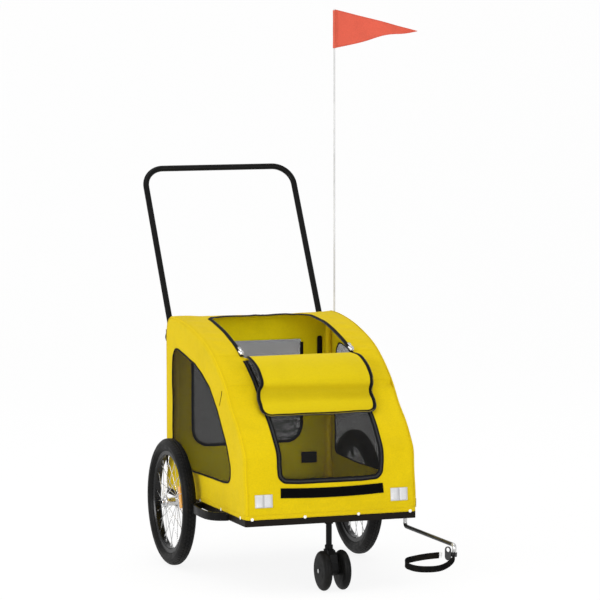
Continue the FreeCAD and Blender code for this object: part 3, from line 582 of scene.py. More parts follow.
class Mat:
    """A Principled material and short ways to add nodes to it. Colours are linear RGB."""

    def __init__(self, name, color, rough, metallic=0.0, spec=0.5):
        self.material = bpy.data.materials.new(name)
        self.material.use_nodes = True
        self.tree = self.material.node_tree
        self.bsdf = self.tree.nodes["Principled BSDF"]
        for key, value in (("Base Color", rgba(color)), ("Roughness", rough),
                           ("Metallic", metallic), ("Specular IOR Level", spec)):
            self.bsdf.inputs[key].default_value = value
        coords = self.tree.nodes.new("ShaderNodeTexCoord")
        self.obj, self.uv = coords.outputs["Object"], coords.outputs["UV"]
        self.normal = None

    def node(self, kind, inputs=None, **props):
        node = self.tree.nodes.new(kind)
        for key, value in props.items():
            setattr(node, key, value)
        for key, value in (inputs or {}).items():
            if isinstance(value, bpy.types.NodeSocket):
                self.tree.links.new(value, node.inputs[key])
            else:
                node.inputs[key].default_value = value
        return node

    def feed(self, key, socket):
        self.tree.links.new(socket, self.bsdf.inputs[key])

    def surface(self, shader):
        self.tree.links.new(shader, self.tree.nodes["Material Output"].inputs["Surface"])

    def noise(self, scale, detail=3.0, rough=0.55, coord=None, distortion=0.0):
        return self.node("ShaderNodeTexNoise", {
            "Vector": coord or self.obj, "Scale": scale, "Detail": detail, "Roughness": rough,
            "Distortion": distortion}).outputs["Fac"]

    def math(self, operation, a, b=0.0, clamp=False):
        return self.node("ShaderNodeMath", {0: a, 1: b}, operation=operation,
                         use_clamp=clamp).outputs[0]

    def times(self, a, b):
        return self.math("MULTIPLY", a, b)

    def ramp(self, value, low, high, to=(0.0, 1.0)):
        return self.node("ShaderNodeMapRange", {
            "Value": value, "From Min": low, "From Max": high, "To Min": to[0],
            "To Max": to[1]}).outputs[0]

    def patches(self, scale, low, high, to=(0.0, 1.0), **texture):
        """Noise of a given scale, stretched from low..high."""
        return self.ramp(self.noise(scale, **texture), low, high, to)

    def mix(self, factor, a, b):
        return self.node("ShaderNodeMix", {0: factor, 6: rgba(a), 7: rgba(b)},
                         data_type="RGBA").outputs[2]

    def blend(self, factor, a, b):
        """Mix of two shaders."""
        return self.node("ShaderNodeMixShader", {0: factor, 1: a, 2: b}).outputs[0]

    def split(self, coord):
        return self.node("ShaderNodeSeparateXYZ", {"Vector": coord}).outputs

    def bump(self, height, strength, distance):
        inputs = {"Strength": strength, "Distance": distance, "Height": height}
        if self.normal is not None:
            inputs["Normal"] = self.normal
        self.normal = self.node("ShaderNodeBump", inputs).outputs["Normal"]
        self.feed("Normal", self.normal)

    def cloth_relief(self, pitch):
        """Soft creases and the weave of the threads."""
        self.bump(self.noise(16.0, detail=4, rough=0.6), strength=0.35, distance=0.0025)
        uv, turns = self.split(self.uv), 2 * math.pi / pitch
        waves = [self.math("SINE", self.times(uv[i], turns)) for i in (0, 1)]
        self.bump(self.times(self.times(*waves), 0.5), strength=0.45, distance=0.00018)


def fabric(name, color, deep, pitch=0.0011, rough=0.78, glow=0.0, sheen=0.03, spec=0.12):
    """Woven cloth; glow is the share of light that passes through."""
    mat = Mat(name, color, rough, spec=spec)
    fine = mat.noise(70.0, detail=4, rough=0.7)
    tone = mat.mix(mat.patches(4.0, 0.3, 0.75, rough=0.6), color, deep)
    tone = mat.mix(mat.times(mat.ramp(fine, 0.45, 0.8), 0.22), tone, deep)
    if glow > 0:
        specks = mat.patches(210.0, 0.35, 0.7, rough=0.7)
        tone = mat.mix(mat.times(specks, 0.30), tone, shade(deep, 0.72))
        stains = mat.patches(11.0, 0.50, 0.72, detail=4, rough=0.65)
        tone = mat.mix(mat.times(stains, 0.30), tone, shade(deep, 0.80))
    # dust low down on the trailer
    dust = mat.times(mat.ramp(mat.split(mat.obj)[2], 0.33, 0.225),
                     mat.patches(28.0, 0.42, 0.72, detail=5, rough=0.7))
    tone = mat.mix(mat.times(dust, 0.05), tone, lin(120, 104, 70))
    mat.feed("Base Color", tone)
    mat.feed("Roughness", mat.ramp(fine, 0.2, 0.8, to=(rough - 0.07, rough + 0.08)))
    mat.bsdf.inputs["Sheen Weight"].default_value = sheen
    mat.bsdf.inputs["Sheen Roughness"].default_value = 0.5
    mat.cloth_relief(pitch)
    mat.bump(mat.noise(900.0, detail=2, rough=0.6), strength=0.15, distance=0.0002)
    if glow > 0:
        through = mat.node("ShaderNodeBsdfTranslucent", {"Color": tone})
        mat.surface(mat.blend(glow, mat.bsdf.outputs[0], through.outputs[0]))
    return mat.material


def net(name, color, pitch, hole):
    """Knitted mesh: round openings, in staggered rows, that the light passes through."""
    mat = Mat(name, color, 0.8, spec=0.05)
    uv = mat.split(mat.uv)
    drift = mat.times(mat.math("SUBTRACT", mat.noise(140.0, detail=2), 0.5), 1.6)
    u = mat.math("ADD", mat.math("DIVIDE", uv[0], pitch), drift)
    v = mat.math("ADD", mat.math("DIVIDE", uv[1], pitch * 0.866), drift)
    stagger = mat.times(mat.math("MODULO", mat.math("FLOOR", v), 2.0), 0.5)
    du = mat.math("SUBTRACT", mat.math("FRACT", mat.math("ADD", u, stagger)), 0.5)
    dv = mat.times(mat.math("SUBTRACT", mat.math("FRACT", v), 0.5), 0.866)
    radius = mat.math("SQRT", mat.math("ADD", mat.times(du, du), mat.times(dv, dv)))
    thread = mat.ramp(radius, hole - 0.10, hole + 0.10)
    mat.feed("Base Color", mat.mix(mat.patches(60.0, 0.3, 0.7), color, shade(color, 1.3)))
    mat.bump(mat.ramp(radius, hole, 0.6), strength=0.4, distance=0.0003)
    clear = mat.node("ShaderNodeBsdfTransparent", {"Color": (1, 1, 1, 1)})
    mat.surface(mat.blend(thread, clear.outputs[0], mat.bsdf.outputs[0]))
    return mat.material


def coated(name, color, rough=0.36):
    """Painted metal with a few scuffs."""
    mat = Mat(name, color, rough, spec=0.13)
    worn = mat.times(mat.patches(40.0, 0.70, 0.76, detail=6, rough=0.75, distortion=0.6),
                     mat.patches(6.0, 0.45, 0.65, detail=2))
    tone = mat.mix(mat.patches(9.0, 0.3, 0.7, detail=4), color, shade(color, 1.35))
    mat.feed("Base Color", mat.mix(mat.times(worn, 0.16), tone, lin(120, 118, 112)))
    mat.feed("Roughness", mat.patches(25.0, 0.3, 0.75, to=(rough - 0.06, rough + 0.16), detail=4))
    mat.bump(mat.noise(520.0, rough=0.6), strength=0.12, distance=0.0003)
    return mat.material


def plastic(name, color, rough=0.48, grain=900.0):
    mat = Mat(name, color, rough, spec=0.17)
    tone = mat.mix(mat.patches(14.0, 0.3, 0.75, detail=4), color, shade(color, 1.4))
    mat.feed("Base Color", tone)
    mat.feed("Roughness", mat.patches(30.0, 0.3, 0.75, to=(rough - 0.08, rough + 0.1), detail=4))
    mat.bump(mat.noise(grain, rough=0.6), strength=0.2, distance=0.0003)
    return mat.material


def rubber(name, color):
    mat = Mat(name, color, 0.55, spec=0.15)
    dust = mat.patches(22.0, 0.48, 0.75, detail=6, rough=0.7)
    mat.feed("Base Color", mat.mix(mat.times(dust, 0.07), color, lin(96, 88, 76)))
    mat.feed("Roughness", mat.patches(40.0, 0.3, 0.75, to=(0.38, 0.58), detail=4))
    mat.bump(mat.noise(600.0, rough=0.6), strength=0.25, distance=0.0004)
    return mat.material


def metal(name, color, rough, brushed=False):
    mat = Mat(name, color, rough, metallic=1.0)
    if brushed:
        stretched = mat.node("ShaderNodeMapping", {"Vector": mat.obj, "Scale": (60, 900, 900)})
        grain = mat.noise(1.0, rough=0.6, coord=stretched.outputs[0])
        mat.bump(grain, strength=0.08, distance=0.0003)
        gloss = mat.ramp(grain, 0.25, 0.75, to=(rough - 0.06, rough + 0.12))
    else:
        gloss = mat.patches(35.0, 0.3, 0.8, to=(max(0.02, rough - 0.06), rough + 0.14),
                            detail=5, rough=0.7)
    mat.feed("Roughness", gloss)
    stain = mat.patches(18.0, 0.45, 0.85, detail=5, rough=0.7)
    mat.feed("Base Color", mat.mix(stain, color, shade(color, 0.78)))
    mat.bump(mat.noise(400.0, detail=2), strength=0.04, distance=0.0002)
    return mat.material


def tow_finish():
    """Black coating worn to bright steel on the two bent ends."""
    mat = Mat("tow_arm_steel", grey(0.03), 0.28, spec=0.32)
    place = mat.split(mat.obj)
    ragged = mat.times(mat.math("SUBTRACT", mat.noise(60.0, detail=4, rough=0.7), 0.5), 0.012)
    front = mat.ramp(mat.math("ADD", place[1], ragged), -0.912, -0.922)
    raised = mat.times(mat.ramp(mat.math("ADD", place[2], ragged), 0.176, 0.182),
                       mat.ramp(place[1], -0.560, -0.556))
    bright = mat.math("MAXIMUM", front, raised, clamp=True)
    mat.feed("Base Color", mat.mix(bright, (0.010, 0.0098, 0.0095), (0.78, 0.78, 0.77)))
    mat.feed("Metallic", bright)
    mat.feed("Roughness", mat.patches(40.0, 0.3, 0.75, to=(0.2, 0.4), detail=4))
    mat.bump(mat.noise(300.0, rough=0.6), strength=0.1, distance=0.0002)
    return mat.material


def reflector(name, color, cell, metallic, rough):
    mat = Mat(name, color, rough, metallic, spec=0.8)
    cells = mat.node("ShaderNodeTexVoronoi", {"Vector": mat.obj, "Scale": 1.0 / cell},
                     feature="F1", distance="CHEBYCHEV").outputs["Distance"]
    mat.feed("Base Color", mat.mix(mat.ramp(cells, 0.0, 0.8), color, shade(color, 1.25)))
    mat.bsdf.inputs["Coat Weight"].default_value = 0.6
    mat.bsdf.inputs["Coat Roughness"].default_value = 0.08
    mat.bump(cells, strength=0.5, distance=0.0006)
    return mat.material


def hook_and_loop():
    mat = Mat("hook_and_loop", grey(0.003), 0.92, spec=0.02)
    cells = mat.node("ShaderNodeTexVoronoi", {"Vector": mat.obj, "Scale": 700.0})
    cells = cells.outputs["Distance"]
    mat.feed("Base Color", mat.mix(mat.ramp(cells, 0.1, 0.6), (0.0060, 0.0060, 0.0062),
                                   grey(0.0015)))
    mat.bump(cells, strength=0.9, distance=0.001)
    mat.bump(mat.noise(90.0, detail=4, rough=0.7), strength=0.4, distance=0.001)
    mat.bsdf.inputs["Sheen Weight"].default_value = 0.02
    return mat.material


# ---------------------------------------------------------------- materials
YELLOW = fabric("yellow_fabric", (0.90, 0.690, 0.004), (0.86, 0.645, 0.003), glow=0.30)
SLEEVE = fabric("yellow_sleeve", (0.80, 0.610, 0.004), (0.75, 0.560, 0.003))
YELLOW_IN = fabric("yellow_lining", (0.84, 0.735, 0.004), (0.80, 0.690, 0.004), glow=0.26)
BLACK_TAPE = fabric("black_tape", (0.0035, 0.0035, 0.0038), (0.0070, 0.0070, 0.0075),
                    pitch=0.0009, rough=0.6, sheen=0, spec=0.10)
# painted shadow for the crease beside the left window
CREASE_SHADOW = fabric("crease_shadow", (0.10, 0.072, 0.002), (0.06, 0.045, 0.002))
THREAD_Y = fabric("yellow_thread", (0.70, 0.55, 0.01), (0.58, 0.45, 0.01), pitch=0.0004,
                  rough=0.6)
THREAD_K = fabric("black_thread", grey(0.012), grey(0.02), pitch=0.0004, rough=0.6)
NET = net("grey_mesh", grey(0.0075), pitch=0.0019, hole=0.245)
NET_REAR = net("grey_rear_mesh", (0.010, 0.010, 0.009), pitch=0.0016, hole=0.235)
NET_SIDE = net("grey_side_mesh", grey(0.0075), pitch=0.0019, hole=0.250)
COIL = plastic("zip_coil", (0.035, 0.035, 0.037), rough=0.38)
FRAME_PAINT = coated("frame_paint", (0.0040, 0.0039, 0.0038))
RAIL_PAINT = coated("rail_paint", (0.0065, 0.0045, 0.0025), rough=0.42)
PLASTIC = plastic("black_plastic", (0.0045, 0.0045, 0.0048))
WHITE_PLASTIC = plastic("white_plastic", (0.74, 0.74, 0.72), rough=0.38)
POLE_GLASS = plastic("flag_pole_glassfibre", grey(0.52), rough=0.3, grain=1500.0)
SNAP = plastic("snap_white", (0.72, 0.71, 0.68), rough=0.3)
RUBBER = rubber("tyre_rubber", grey(0.0050))
CASTOR_RUBBER = rubber("castor_rubber", grey(0.0040))
HUB = metal("hub_alloy", grey(0.88), rough=0.22)
RIM = metal("rim_alloy", (0.055, 0.055, 0.056), rough=0.24, brushed=True)
CHROME = metal("chrome", grey(0.86), rough=0.12)
SATIN = metal("satin_steel", (0.55, 0.55, 0.56), rough=0.30)
TOW_ARM = tow_finish()
HITCH_STEEL = coated("hitch_steel", (0.045, 0.045, 0.046), rough=0.34)
FLOOR_MAT = fabric("floor_mat", (0.16, 0.16, 0.165), (0.20, 0.20, 0.205), pitch=0.0016,
                   rough=0.85)
BOARD = plastic("floor_board_ply", (0.05, 0.04, 0.03), rough=0.7, grain=300.0)
FLAG = fabric("flag_fabric", lin(240, 122, 98), lin(232, 110, 88), pitch=0.0009, rough=0.7,
              glow=0.35)
WEB = fabric("webbing", (0.0028, 0.0028, 0.0030), (0.0055, 0.0055, 0.0060), pitch=0.0022,
             rough=0.75, sheen=0, spec=0.03)
AMBER = reflector("amber_reflector", lin(232, 160, 24), cell=0.0028, metallic=0.0, rough=0.25)
SILVER = reflector("silver_reflector", (0.53, 0.53, 0.535), cell=0.0022, metallic=0.25,
                   rough=0.35)
LOOP = hook_and_loop()

# Finish of each CAD node that is kept as it is
FINISHES = (
    (RAIL_PAINT, "base_frame"),
    (FRAME_PAINT, "wheel_bumper_bars left_hoop right_hoop hoop_brackets rear_posts "
                  "rear_post_brackets handle_bar axle_tube castor_stem"),
    (PLASTIC, "rear_post_knuckles handle_knuckles left_release_button right_release_button "
              "left_axle_button right_axle_button castor_fork tow_arm_bush flag_socket"),
    (SATIN, "handle_pivot_bolts frame_pivot_pins left_hub_bearings right_hub_bearings"),
    (CHROME, "left_spokes right_spokes left_axle_pin right_axle_pin castor_axle "
             "tow_arm_cotter"),
    (BOARD, "floor_board"),
    (RIM, "left_rim right_rim"),
    (HUB, "left_hub right_hub"),
    (AMBER, "left_spoke_reflectors right_spoke_reflectors"),
    (CASTOR_RUBBER, "castor_wheel_left castor_wheel_right"),
    (TOW_ARM, "tow_arm"),
    (HITCH_STEEL, "hitch_plate"),
    (POLE_GLASS, "flag_pole"),
)


def paint_nodes():
    for mat, names in FINISHES:
        for name in names.split():
            if name in NODES:
                mesh = NODES[name].data
                mesh.materials.clear()
                mesh.materials.append(mat)
                mesh.polygons.foreach_set("material_index", [0] * len(mesh.polygons))


def rigid(obj, body="base", nodes=(), folds=False):
    """Puts a piece on a body, in place of the named CAD nodes."""
    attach(obj, body)
    if folds:
        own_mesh(obj)
    if nodes:
        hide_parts(*nodes)


def soft(obj, nodes=(), body="base"):
    """A piece of the cover, put on a body with its own copy of its mesh."""
    rigid(obj, body, nodes, folds=True)


# ---------------------------------------------------------------- openings as loops
def hole_on_sheet(hole, to_s, radius):
    return rounded(np.stack([hole[:, 0], to_s(hole[:, 1])], 1), radius)


front_loop = hole_on_sheet(FRONT_HOLE, s_front, 0.014)
roof_loop = hole_on_sheet(ROOF_HOLE, s_roof, 0.020)
rear_loop = hole_on_sheet(REAR_HOLE, s_rear, 0.006)
side_loop = rounded(SIDE_HOLE, 0.022)
# two narrow upright slots in the rear wall
SLOTS = [rounded(rectangle(sign * SLOT_X - 0.005, float(s_rear(0.680)),
                           sign * SLOT_X + 0.005, float(s_rear(0.605))), 0.0049, 0.0022)
         for sign, _ in SIDES]


# ---------------------------------------------------------------- cover and windows
def make_cover():
    """One sheet over front, roof and rear, sewn to both sides."""
    step = 0.008
    across = spaced(-U_MAX, U_MAX, 0.008)
    outer = np.vstack([
        np.stack([np.full(len(rim_s), U_MAX), rim_s], 1),
        np.stack([across[::-1], np.full(len(across), S_END)], 1)[1:-1],
        np.stack([np.full(len(rim_s), -U_MAX), rim_s[::-1]], 1),
        np.stack([across, np.full(len(across), 0.0)], 1)[1:-1]])
    bm = bmesh.new()
    uv_layer = bm.loops.layers.uv.new("UVMap")

    def pour(flat_points, faces, surface):
        points, normals = lay(flat_points, surface)
        verts = [bm.verts.new(tuple(p)) for p in points]
        for corners in facing(points, faces, normals):
            face = bm.faces.new([verts[i] for i in corners])
            face.smooth = True
            for loop, i in zip(face.loops, corners):
                loop[uv_layer].uv = tuple(flat_points[i])

    pour(*triangles(outer, [front_loop, roof_loop, rear_loop] + SLOTS, step), sheet)
    side_flat = triangles(SIDE_OUTER, [side_loop], step)
    for sign, _ in SIDES:
        pour(*side_flat, partial(side, sign=sign))
    bmesh.ops.remove_doubles(bm, verts=bm.verts, dist=0.0009)
    # a pulled notch on the right front edge
    for vert in bm.verts:
        x, y, z = vert.co
        if x > 0.22:
            near = math.exp(-(((y + 0.4186) ** 2 + (z - 0.596) ** 2) / (2 * 0.007 ** 2)))
            pull = near * min(1, (x - 0.22) / 0.04)
            vert.co.y += 0.0045 * pull
            vert.co.z -= 0.0040 * pull
    mesh = bpy.data.meshes.new("cover")
    bm.to_mesh(mesh)
    bm.free()
    mesh.materials.append(YELLOW)
    mesh.materials.append(YELLOW_IN)
    cover = link_object("cover", mesh)
    thicken(cover, FABRIC_T, inner_slot=1)
    soft(cover, ["fabric_cover"])


def make_window(name, loop, overlap, surface, mat, node):
    flat_points, faces = triangles(grow(loop, overlap), [], NET_STEP)
    points, _ = lay(flat_points, surface, NET_SINK)
    soft(new_object(name, points, faces, mat, flat_points), [node])


def make_windows():
    make_window("front_window_mesh", front_loop, 0.004, sheet, NET, "front_mesh")
    make_window("rear_window_mesh", rear_loop, 0.004, sheet, NET_REAR, "rear_mesh")
    for sign, name in SIDES:
        make_window(name + "_window_mesh", side_loop, 0.003, partial(side, sign=sign), NET_SIDE,
                    name + "_side_mesh")


# ---------------------------------------------------------------- zips, hems and stitching
def make_trims():
    tape, coil, piping, hem, yellow, black = (Bag() for _ in range(6))

    def window_zip(line, width):
        points, normals = lay(line)
        tape.sweep(points, normals, flat(width, low=-0.0006, high=0.0012))
        coil.teeth(points, normals, 0.0, height=0.0011, width=0.0055)
        inset = width / 2 - 0.0018
        black.stitches(points, normals, (-inset, inset), height=0.00135)

    def hem_strip(points, normals):
        hem.sweep(points, normals, flat(0.014, low=-0.0002, high=0.0007, edge=0.0003))
        yellow.stitches(points, normals, (-0.0052, 0.0052), height=0.0008)

    def zips():
        line = open_part(grow(front_loop, 0.0022), lambda q: q[:, 1] < s_front(0.674))
        window_zip(resample(line, 0.004), width=0.016)
        line = open_part(grow(rear_loop, 0.003), lambda q: q[:, 1] > s_rear(0.672))
        line = resample(line, 0.004)
        window_zip(line, width=0.011)
        # a second tape on the inside of the rear zip
        points, normals = lay(line, height=-0.0016)
        tape.sweep(points, -normals, flat(0.009, low=-0.0004, high=0.0010))
        # the door's half zip stays on the edge of the roof opening
        line = open_part(grow(roof_loop, 0.0045), lambda q: q[:, 1] > s_roof(-0.302))
        points, normals = lay(resample(line, 0.004))
        centre = lay(np.array([(0.0, float(s_roof(-0.1)))]))[0][0]
        away = away_sign(points, normals, centre)
        tape.sweep(points, normals, flat(0.0115, low=-0.0018, high=0.0016))
        coil.teeth(points, normals, -away * 0.0060, height=-0.0006, width=0.0042, tall=0.0018)
        black.stitches(points, normals, (away * 0.0042, away * 0.0012), height=0.00175)

    def bindings():
        for sign, _ in SIDES:
            panel = partial(side, sign=sign)
            line = resample(grow(side_loop, 0.0016), 0.004, closed=True)
            piping.sweep(*lay(line, panel), round_section(0.0032, 10, squash=0.62, lift=0.0004),
                         closed=True)
            line = resample(grow(side_loop, 0.0062), 0.004, closed=True)
            yellow.stitches(*lay(line, panel), (0.0,), height=0.0003, closed=True)
        for slot in SLOTS:
            line = resample(grow(slot, 0.0012), 0.003, closed=True)
            piping.sweep(*lay(line), round_section(0.0022, 8, squash=0.7, lift=0.0002),
                         closed=True)

    def hems_and_seams():
        hem_inset = 0.0075      # of the hem's middle from the cover's lower edge
        across = spaced(-U_MAX + 0.001, U_MAX - 0.001, 0.006)
        for s in (hem_inset, S_END - hem_inset):
            hem_strip(*sheet(across, np.full(len(across), s)))
        for sign, _ in SIDES:
            y = np.linspace(rim_yz[0, 0] + 0.002, rim_yz[-1, 0] - 0.002, 130)
            hem_strip(*side(y, np.full(len(y), COVER_Z + hem_inset), sign=sign))
            # felled seam where the sheet meets the side panel
            s = spaced(0.012, S_END - 0.012, 0.005)
            points, normals = sheet(np.full(len(s), sign * (U_MAX - 0.0105)), s)
            hem.sweep(points, normals, flat(0.009, low=-0.0003, high=0.0006, edge=0.0003))
            yellow.stitches(points, normals, (0.0030, -0.0030), height=0.0007)
        # coarse black stitches up the right front edge
        s = spaced(float(s_front(0.262)), float(s_front(0.615)), 0.005)
        points, normals = sheet(np.full(len(s), U_MAX), s)
        normals = unit(normals * 0.35 + np.array([0.93, 0.0, 0.0]))
        black.stitches(points + normals * 0.0004, normals, (0.0,), height=0.0006,
                       length=0.0034, pitch=0.0068, radius=0.0009)
        for seam in SEAMS:
            for sign, _ in SIDES:
                u = np.linspace(0.192, 0.262, 16) * sign
                yellow.stitches(*sheet(u, np.full(len(u), seam + 0.0045)), (0.0,),
                                height=0.0003)

    zips()
    bindings()
    hems_and_seams()
    soft(tape.make("zip_tapes", BLACK_TAPE), ["zip_tape"])
    soft(coil.make("zip_coils", COIL))
    soft(piping.make("window_piping", BLACK_TAPE), ["side_window_piping"])
    soft(hem.make("cover_hems", YELLOW))
    soft(yellow.make("cover_stitching", THREAD_Y))
    soft(black.make("zip_stitching", THREAD_K))


def make_door_binding():
    """Strip where the door is sewn on."""
    bag = Bag()
    u = np.linspace(-0.178, 0.178, 60)
    bag.sweep(*sheet(u, np.full(len(u), float(s_roof(-0.3105)))),
              flat(0.010, low=-0.0022, high=0.0010))
    soft(bag.make("door_hinge_binding", YELLOW))


def make_side_crease():
    """Short pulled crease beside the left window: a fold and a dark line next to it, which is a
    painted shadow.
    """
    fold, line = Bag(), Bag()
    t = np.linspace(-1, 1, 26)
    half_length = 0.026
    y = CREASE_Y + CREASE_DY * t * half_length + 0.006 * t * t
    z = CREASE_Z + CREASE_DZ * t * half_length
    points, normals = side(y, z, sign=-1)
    taper = np.sqrt(1.0001 - t * t)
    ridge = [(-0.0038, -0.0010), (-0.0026, 0.0016), (-0.0004, 0.0030), (0.0020, 0.0016),
             (0.0038, -0.0010)]
    fold.sweep(points + np.array([0.0, 0.0030, 0.0]), normals, ridge, scale=taper)
    # dark strip standing in for the fold's shadow: painted shadow
    line.sweep(points, normals, flat(0.0052, low=-0.0006, high=0.0010, edge=0.0003),
               scale=taper)
    soft(fold.make("side_crease_fold", YELLOW))
    soft(line.make("side_crease_painted_shadow", CREASE_SHADOW))


def make_tabs():
    bag = Bag()
    # behind the rear slots
    for sign, _ in SIDES:
        stand = Matrix.Translation((sign * SLOT_X, 0.1622, 0.0)) @ \
            Matrix.Rotation(math.radians(90), 4, "X")
        bag.prism(rounded(rectangle(-0.0085, 0.598, 0.0085, 0.688), 0.0084, 0.002),
                  low=0.0, high=0.0012, bevel=0.0003, matrix=stand)
    # a sewn leash anchor low on the inside of the rear wall
    x = np.linspace(0.182, 0.235, 14)
    path = np.stack([x, np.full(14, 0.1618), np.full(14, 0.295)], 1)
    bag.sweep(path, (0.0, -1.0, 0.0), flat(0.036, low=0.0, high=0.0018))
    # a loop of tape peeping out of the lower front corner seam on the right
    z = np.linspace(0.2365, 0.262, 10)
    path = np.stack([np.full(10, HALF_WIDTH + 0.0018), np.full(10, -0.585), z], 1)
    bag.sweep(path, (1.0, 0.0, 0.0), flat(0.012, low=-0.0014, high=0.0016))
    soft(bag.make("inner_tabs", BLACK_TAPE))


def make_hoop_sleeves():
    """Fabric sewn round the cabin hoops, grown from the hoops themselves."""
    for side_name, low_end in (("left", 0.245), ("right", 0.272)):
        bm = bmesh.new()
        bm.from_mesh(NODES[side_name + "_hoop"].data)
        bmesh.ops.remove_doubles(bm, verts=bm.verts, dist=0.00002)
        bmesh.ops.delete(bm, geom=[v for v in bm.verts if v.co.z < low_end], context="VERTS")
        bm.normal_update()
        normals = {v.index: v.normal.copy() for v in bm.verts}
        for v in bm.verts:
            v.co = v.co + normals[v.index] * (0.0011 + 0.0004 * noise.noise(v.co * 40.0))
        for face in bm.faces:
            face.smooth = True
        name = side_name + "_hoop_sleeve"
        mesh = bpy.data.meshes.new(name)
        bm.to_mesh(mesh)
        bm.free()
        mesh.materials.clear()
        mesh.materials.append(SLEEVE)
        rigid(link_object(name, mesh), side_name + "_hoop")


def make_boots():
    """Short fabric sleeves round the hoop feet."""
    bag = Bag()
    # x0, y0, x1, y1, top
    for *corners, top in ((0.2505, 0.1105, 0.2728, 0.1405, 0.292),
                          (-0.2728, 0.0865, -0.2505, 0.1165, 0.262)):
        ring = resample(rounded(rectangle(*corners), 0.006, 0.002), 0.003, closed=True)
        middle = ring.mean(0)
        levels = np.linspace(COVER_Z + 0.0005, top, 14)
        rings = []
        for z in levels:
            t = (z - levels[0]) / (top - levels[0])
            swell = 1.0 + 0.03 * math.sin(t * 9.0) - 0.10 * t * t
            rings.append(np.column_stack([middle + (ring - middle) * swell,
                                          np.full(len(ring), z)]))
        bag.add(np.vstack(rings), quads(len(levels), len(ring)))
    soft(bag.make("hoop_foot_boots", SLEEVE))


def make_front_reflectors():
    """Two halves side by side on a thin backing, at each lower corner of the front."""
    bag = Bag()
    s = np.linspace(float(s_front(0.2605)), float(s_front(0.2995)), 12)
    for sign, _ in SIDES:
        middle = sign * 0.217
        for half in (-1, 1):
            bag.sweep(*sheet(np.full(12, middle + half * 0.01395), s),
                      flat(0.0272, low=-0.0005, high=0.0026, edge=0.0008))
        bag.sweep(*sheet(np.full(12, middle), s),
                  flat(0.056, low=-0.0008, high=0.0008, edge=0.0004))
    soft(bag.make("front_reflector_panels", SILVER), ["front_reflectors"])


def make_hook_strip():
    strip, thread = Bag(), Bag()
    x = np.linspace(-0.163, 0.166, 70)
    sag = 0.0045 * (1 - (x / 0.165) ** 2)
    points, normals = sheet(x, s_front(0.3015 - sag))
    strip.sweep(points, normals, flat(0.030, low=-0.0004, high=0.0018, edge=0.0005))
    thread.stitches(points, normals, (-0.0134, 0.0134), height=0.0019)
    soft(strip.make("hook_strip", LOOP), ["hook_and_loop_strip"])
    soft(thread.make("hook_strip_stitching", THREAD_K))


# ---------------------------------------------------------------- opened door flap
flap_line = cubic(FLAP, 0.003)
flap_s = lengths(flap_line)
flap_slope = unit(np.gradient(flap_line, axis=0))
flap_normal = np.stack([flap_slope[:, 1], -flap_slope[:, 0]], 1)
FLAP_END = flap_s[-1]
FLAP_X0, FLAP_X1 = -0.172, 0.186
FLAP_CUT = FLAP_END - 0.002     # where the cloth stops
FLAP_RADIUS = 0.036             # of the two free corners


def flap(x, t, height=0.0):
    """Points and normals of the flap; t runs from the seam to the free end."""
    x, t = np.asarray(x, float), np.asarray(t, float)
    y, z = lookup(t, flap_s, flap_line).T
    normals = np.column_stack([np.zeros(len(x)), unit(lookup(t, flap_s, flap_normal))])
    across = (x - FLAP_X0) / (FLAP_X1 - FLAP_X0) * 2 - 1
    share = t / FLAP_END
    # waves and wrinkles away from the seam, with both long edges drooping
    free = smooth01(t / 0.05)
    bump = free * (0.0030 * fbm(x * 6, t * 9, octaves=2, seed=4.0)
                   + 0.0012 * fbm(x * 22, t * 12, octaves=2, seed=6.0))
    bump = bump - 0.0035 * free * smooth01((np.abs(across) - 0.72) / 0.28)
    # one deep fold across the flap between two ridges
    bump = bump - 0.0105 * bell(share, 0.700 + 0.02 * across, 0.055)
    bump = bump + 0.0045 * bell(share, 0.83, 0.06) + 0.0030 * bell(share, 0.56, 0.06)
    # the free left corner leans and the sewn right corner is pulled, both towards -X
    lean = smooth01((share - 0.58) / 0.2) * (1 - across) / 2
    pull = smooth01(1.0 - share / 0.16) * smooth01((across - 0.2) / 0.8)
    points = np.stack([x - 0.012 * lean - 0.011 * pull, y, z], 1)
    return points + normals * (bump + height)[:, None], normals


def flap_finish():
    """Flap cloth in a darker copy of the cover yellow, with painted light on the fold at its top,
    painted shade below it and towards the free end, and a painted shadow band along the crease
    across it.
    """
    mat = Mat("yellow_flap_fabric_painted_shade", (0.75, 0.57, 0.004), 0.78, spec=0.12)
    uv = mat.split(mat.uv)
    # Painted light and shade down the flap: full colour on the top fold as a painted highlight,
    # dimmed below it and again near the free end as painted shade.
    wave = mat.times(mat.math("SUBTRACT", mat.noise(9.0), 0.5), 0.05)
    share = mat.math("ADD", mat.math("DIVIDE", uv[1], FLAP_END), wave)
    share = mat.math("SUBTRACT", share, mat.times(uv[0], 0.11))
    bright = mat.times(mat.ramp(share, 0.05, 0.35, to=(1.0, 0.885)),
                       mat.ramp(share, 0.88, 1.0, to=(1.0, 0.94)))
    # Painted shadow: a darker band along the crease across the flap.
    crease = mat.math("ADD", mat.ramp(share, 0.61, 0.70, to=(1.0, 0.85)),
                      mat.ramp(share, 0.72, 0.83, to=(0.0, 0.15)))
    bright = mat.times(bright, crease)
    fine = mat.noise(70.0, detail=4, rough=0.7)
    # Base colour is a darker copy of the cover yellow, as painted shade on the upward-facing
    # flap.
    tone = mat.mix(mat.patches(4.0, 0.3, 0.75, rough=0.6), (0.725, 0.555, 0.004),
                   (0.690, 0.520, 0.003))
    specks = mat.times(mat.patches(210.0, 0.35, 0.7, rough=0.7), 0.25)
    tone = mat.mix(specks, tone, (0.52, 0.39, 0.002))
    mat.feed("Base Color", mat.mix(bright, BLACK, tone))
    mat.feed("Roughness", mat.ramp(fine, 0.2, 0.8, to=(0.70, 0.85)))
    mat.cloth_relief(pitch=0.0011)
    return mat.material


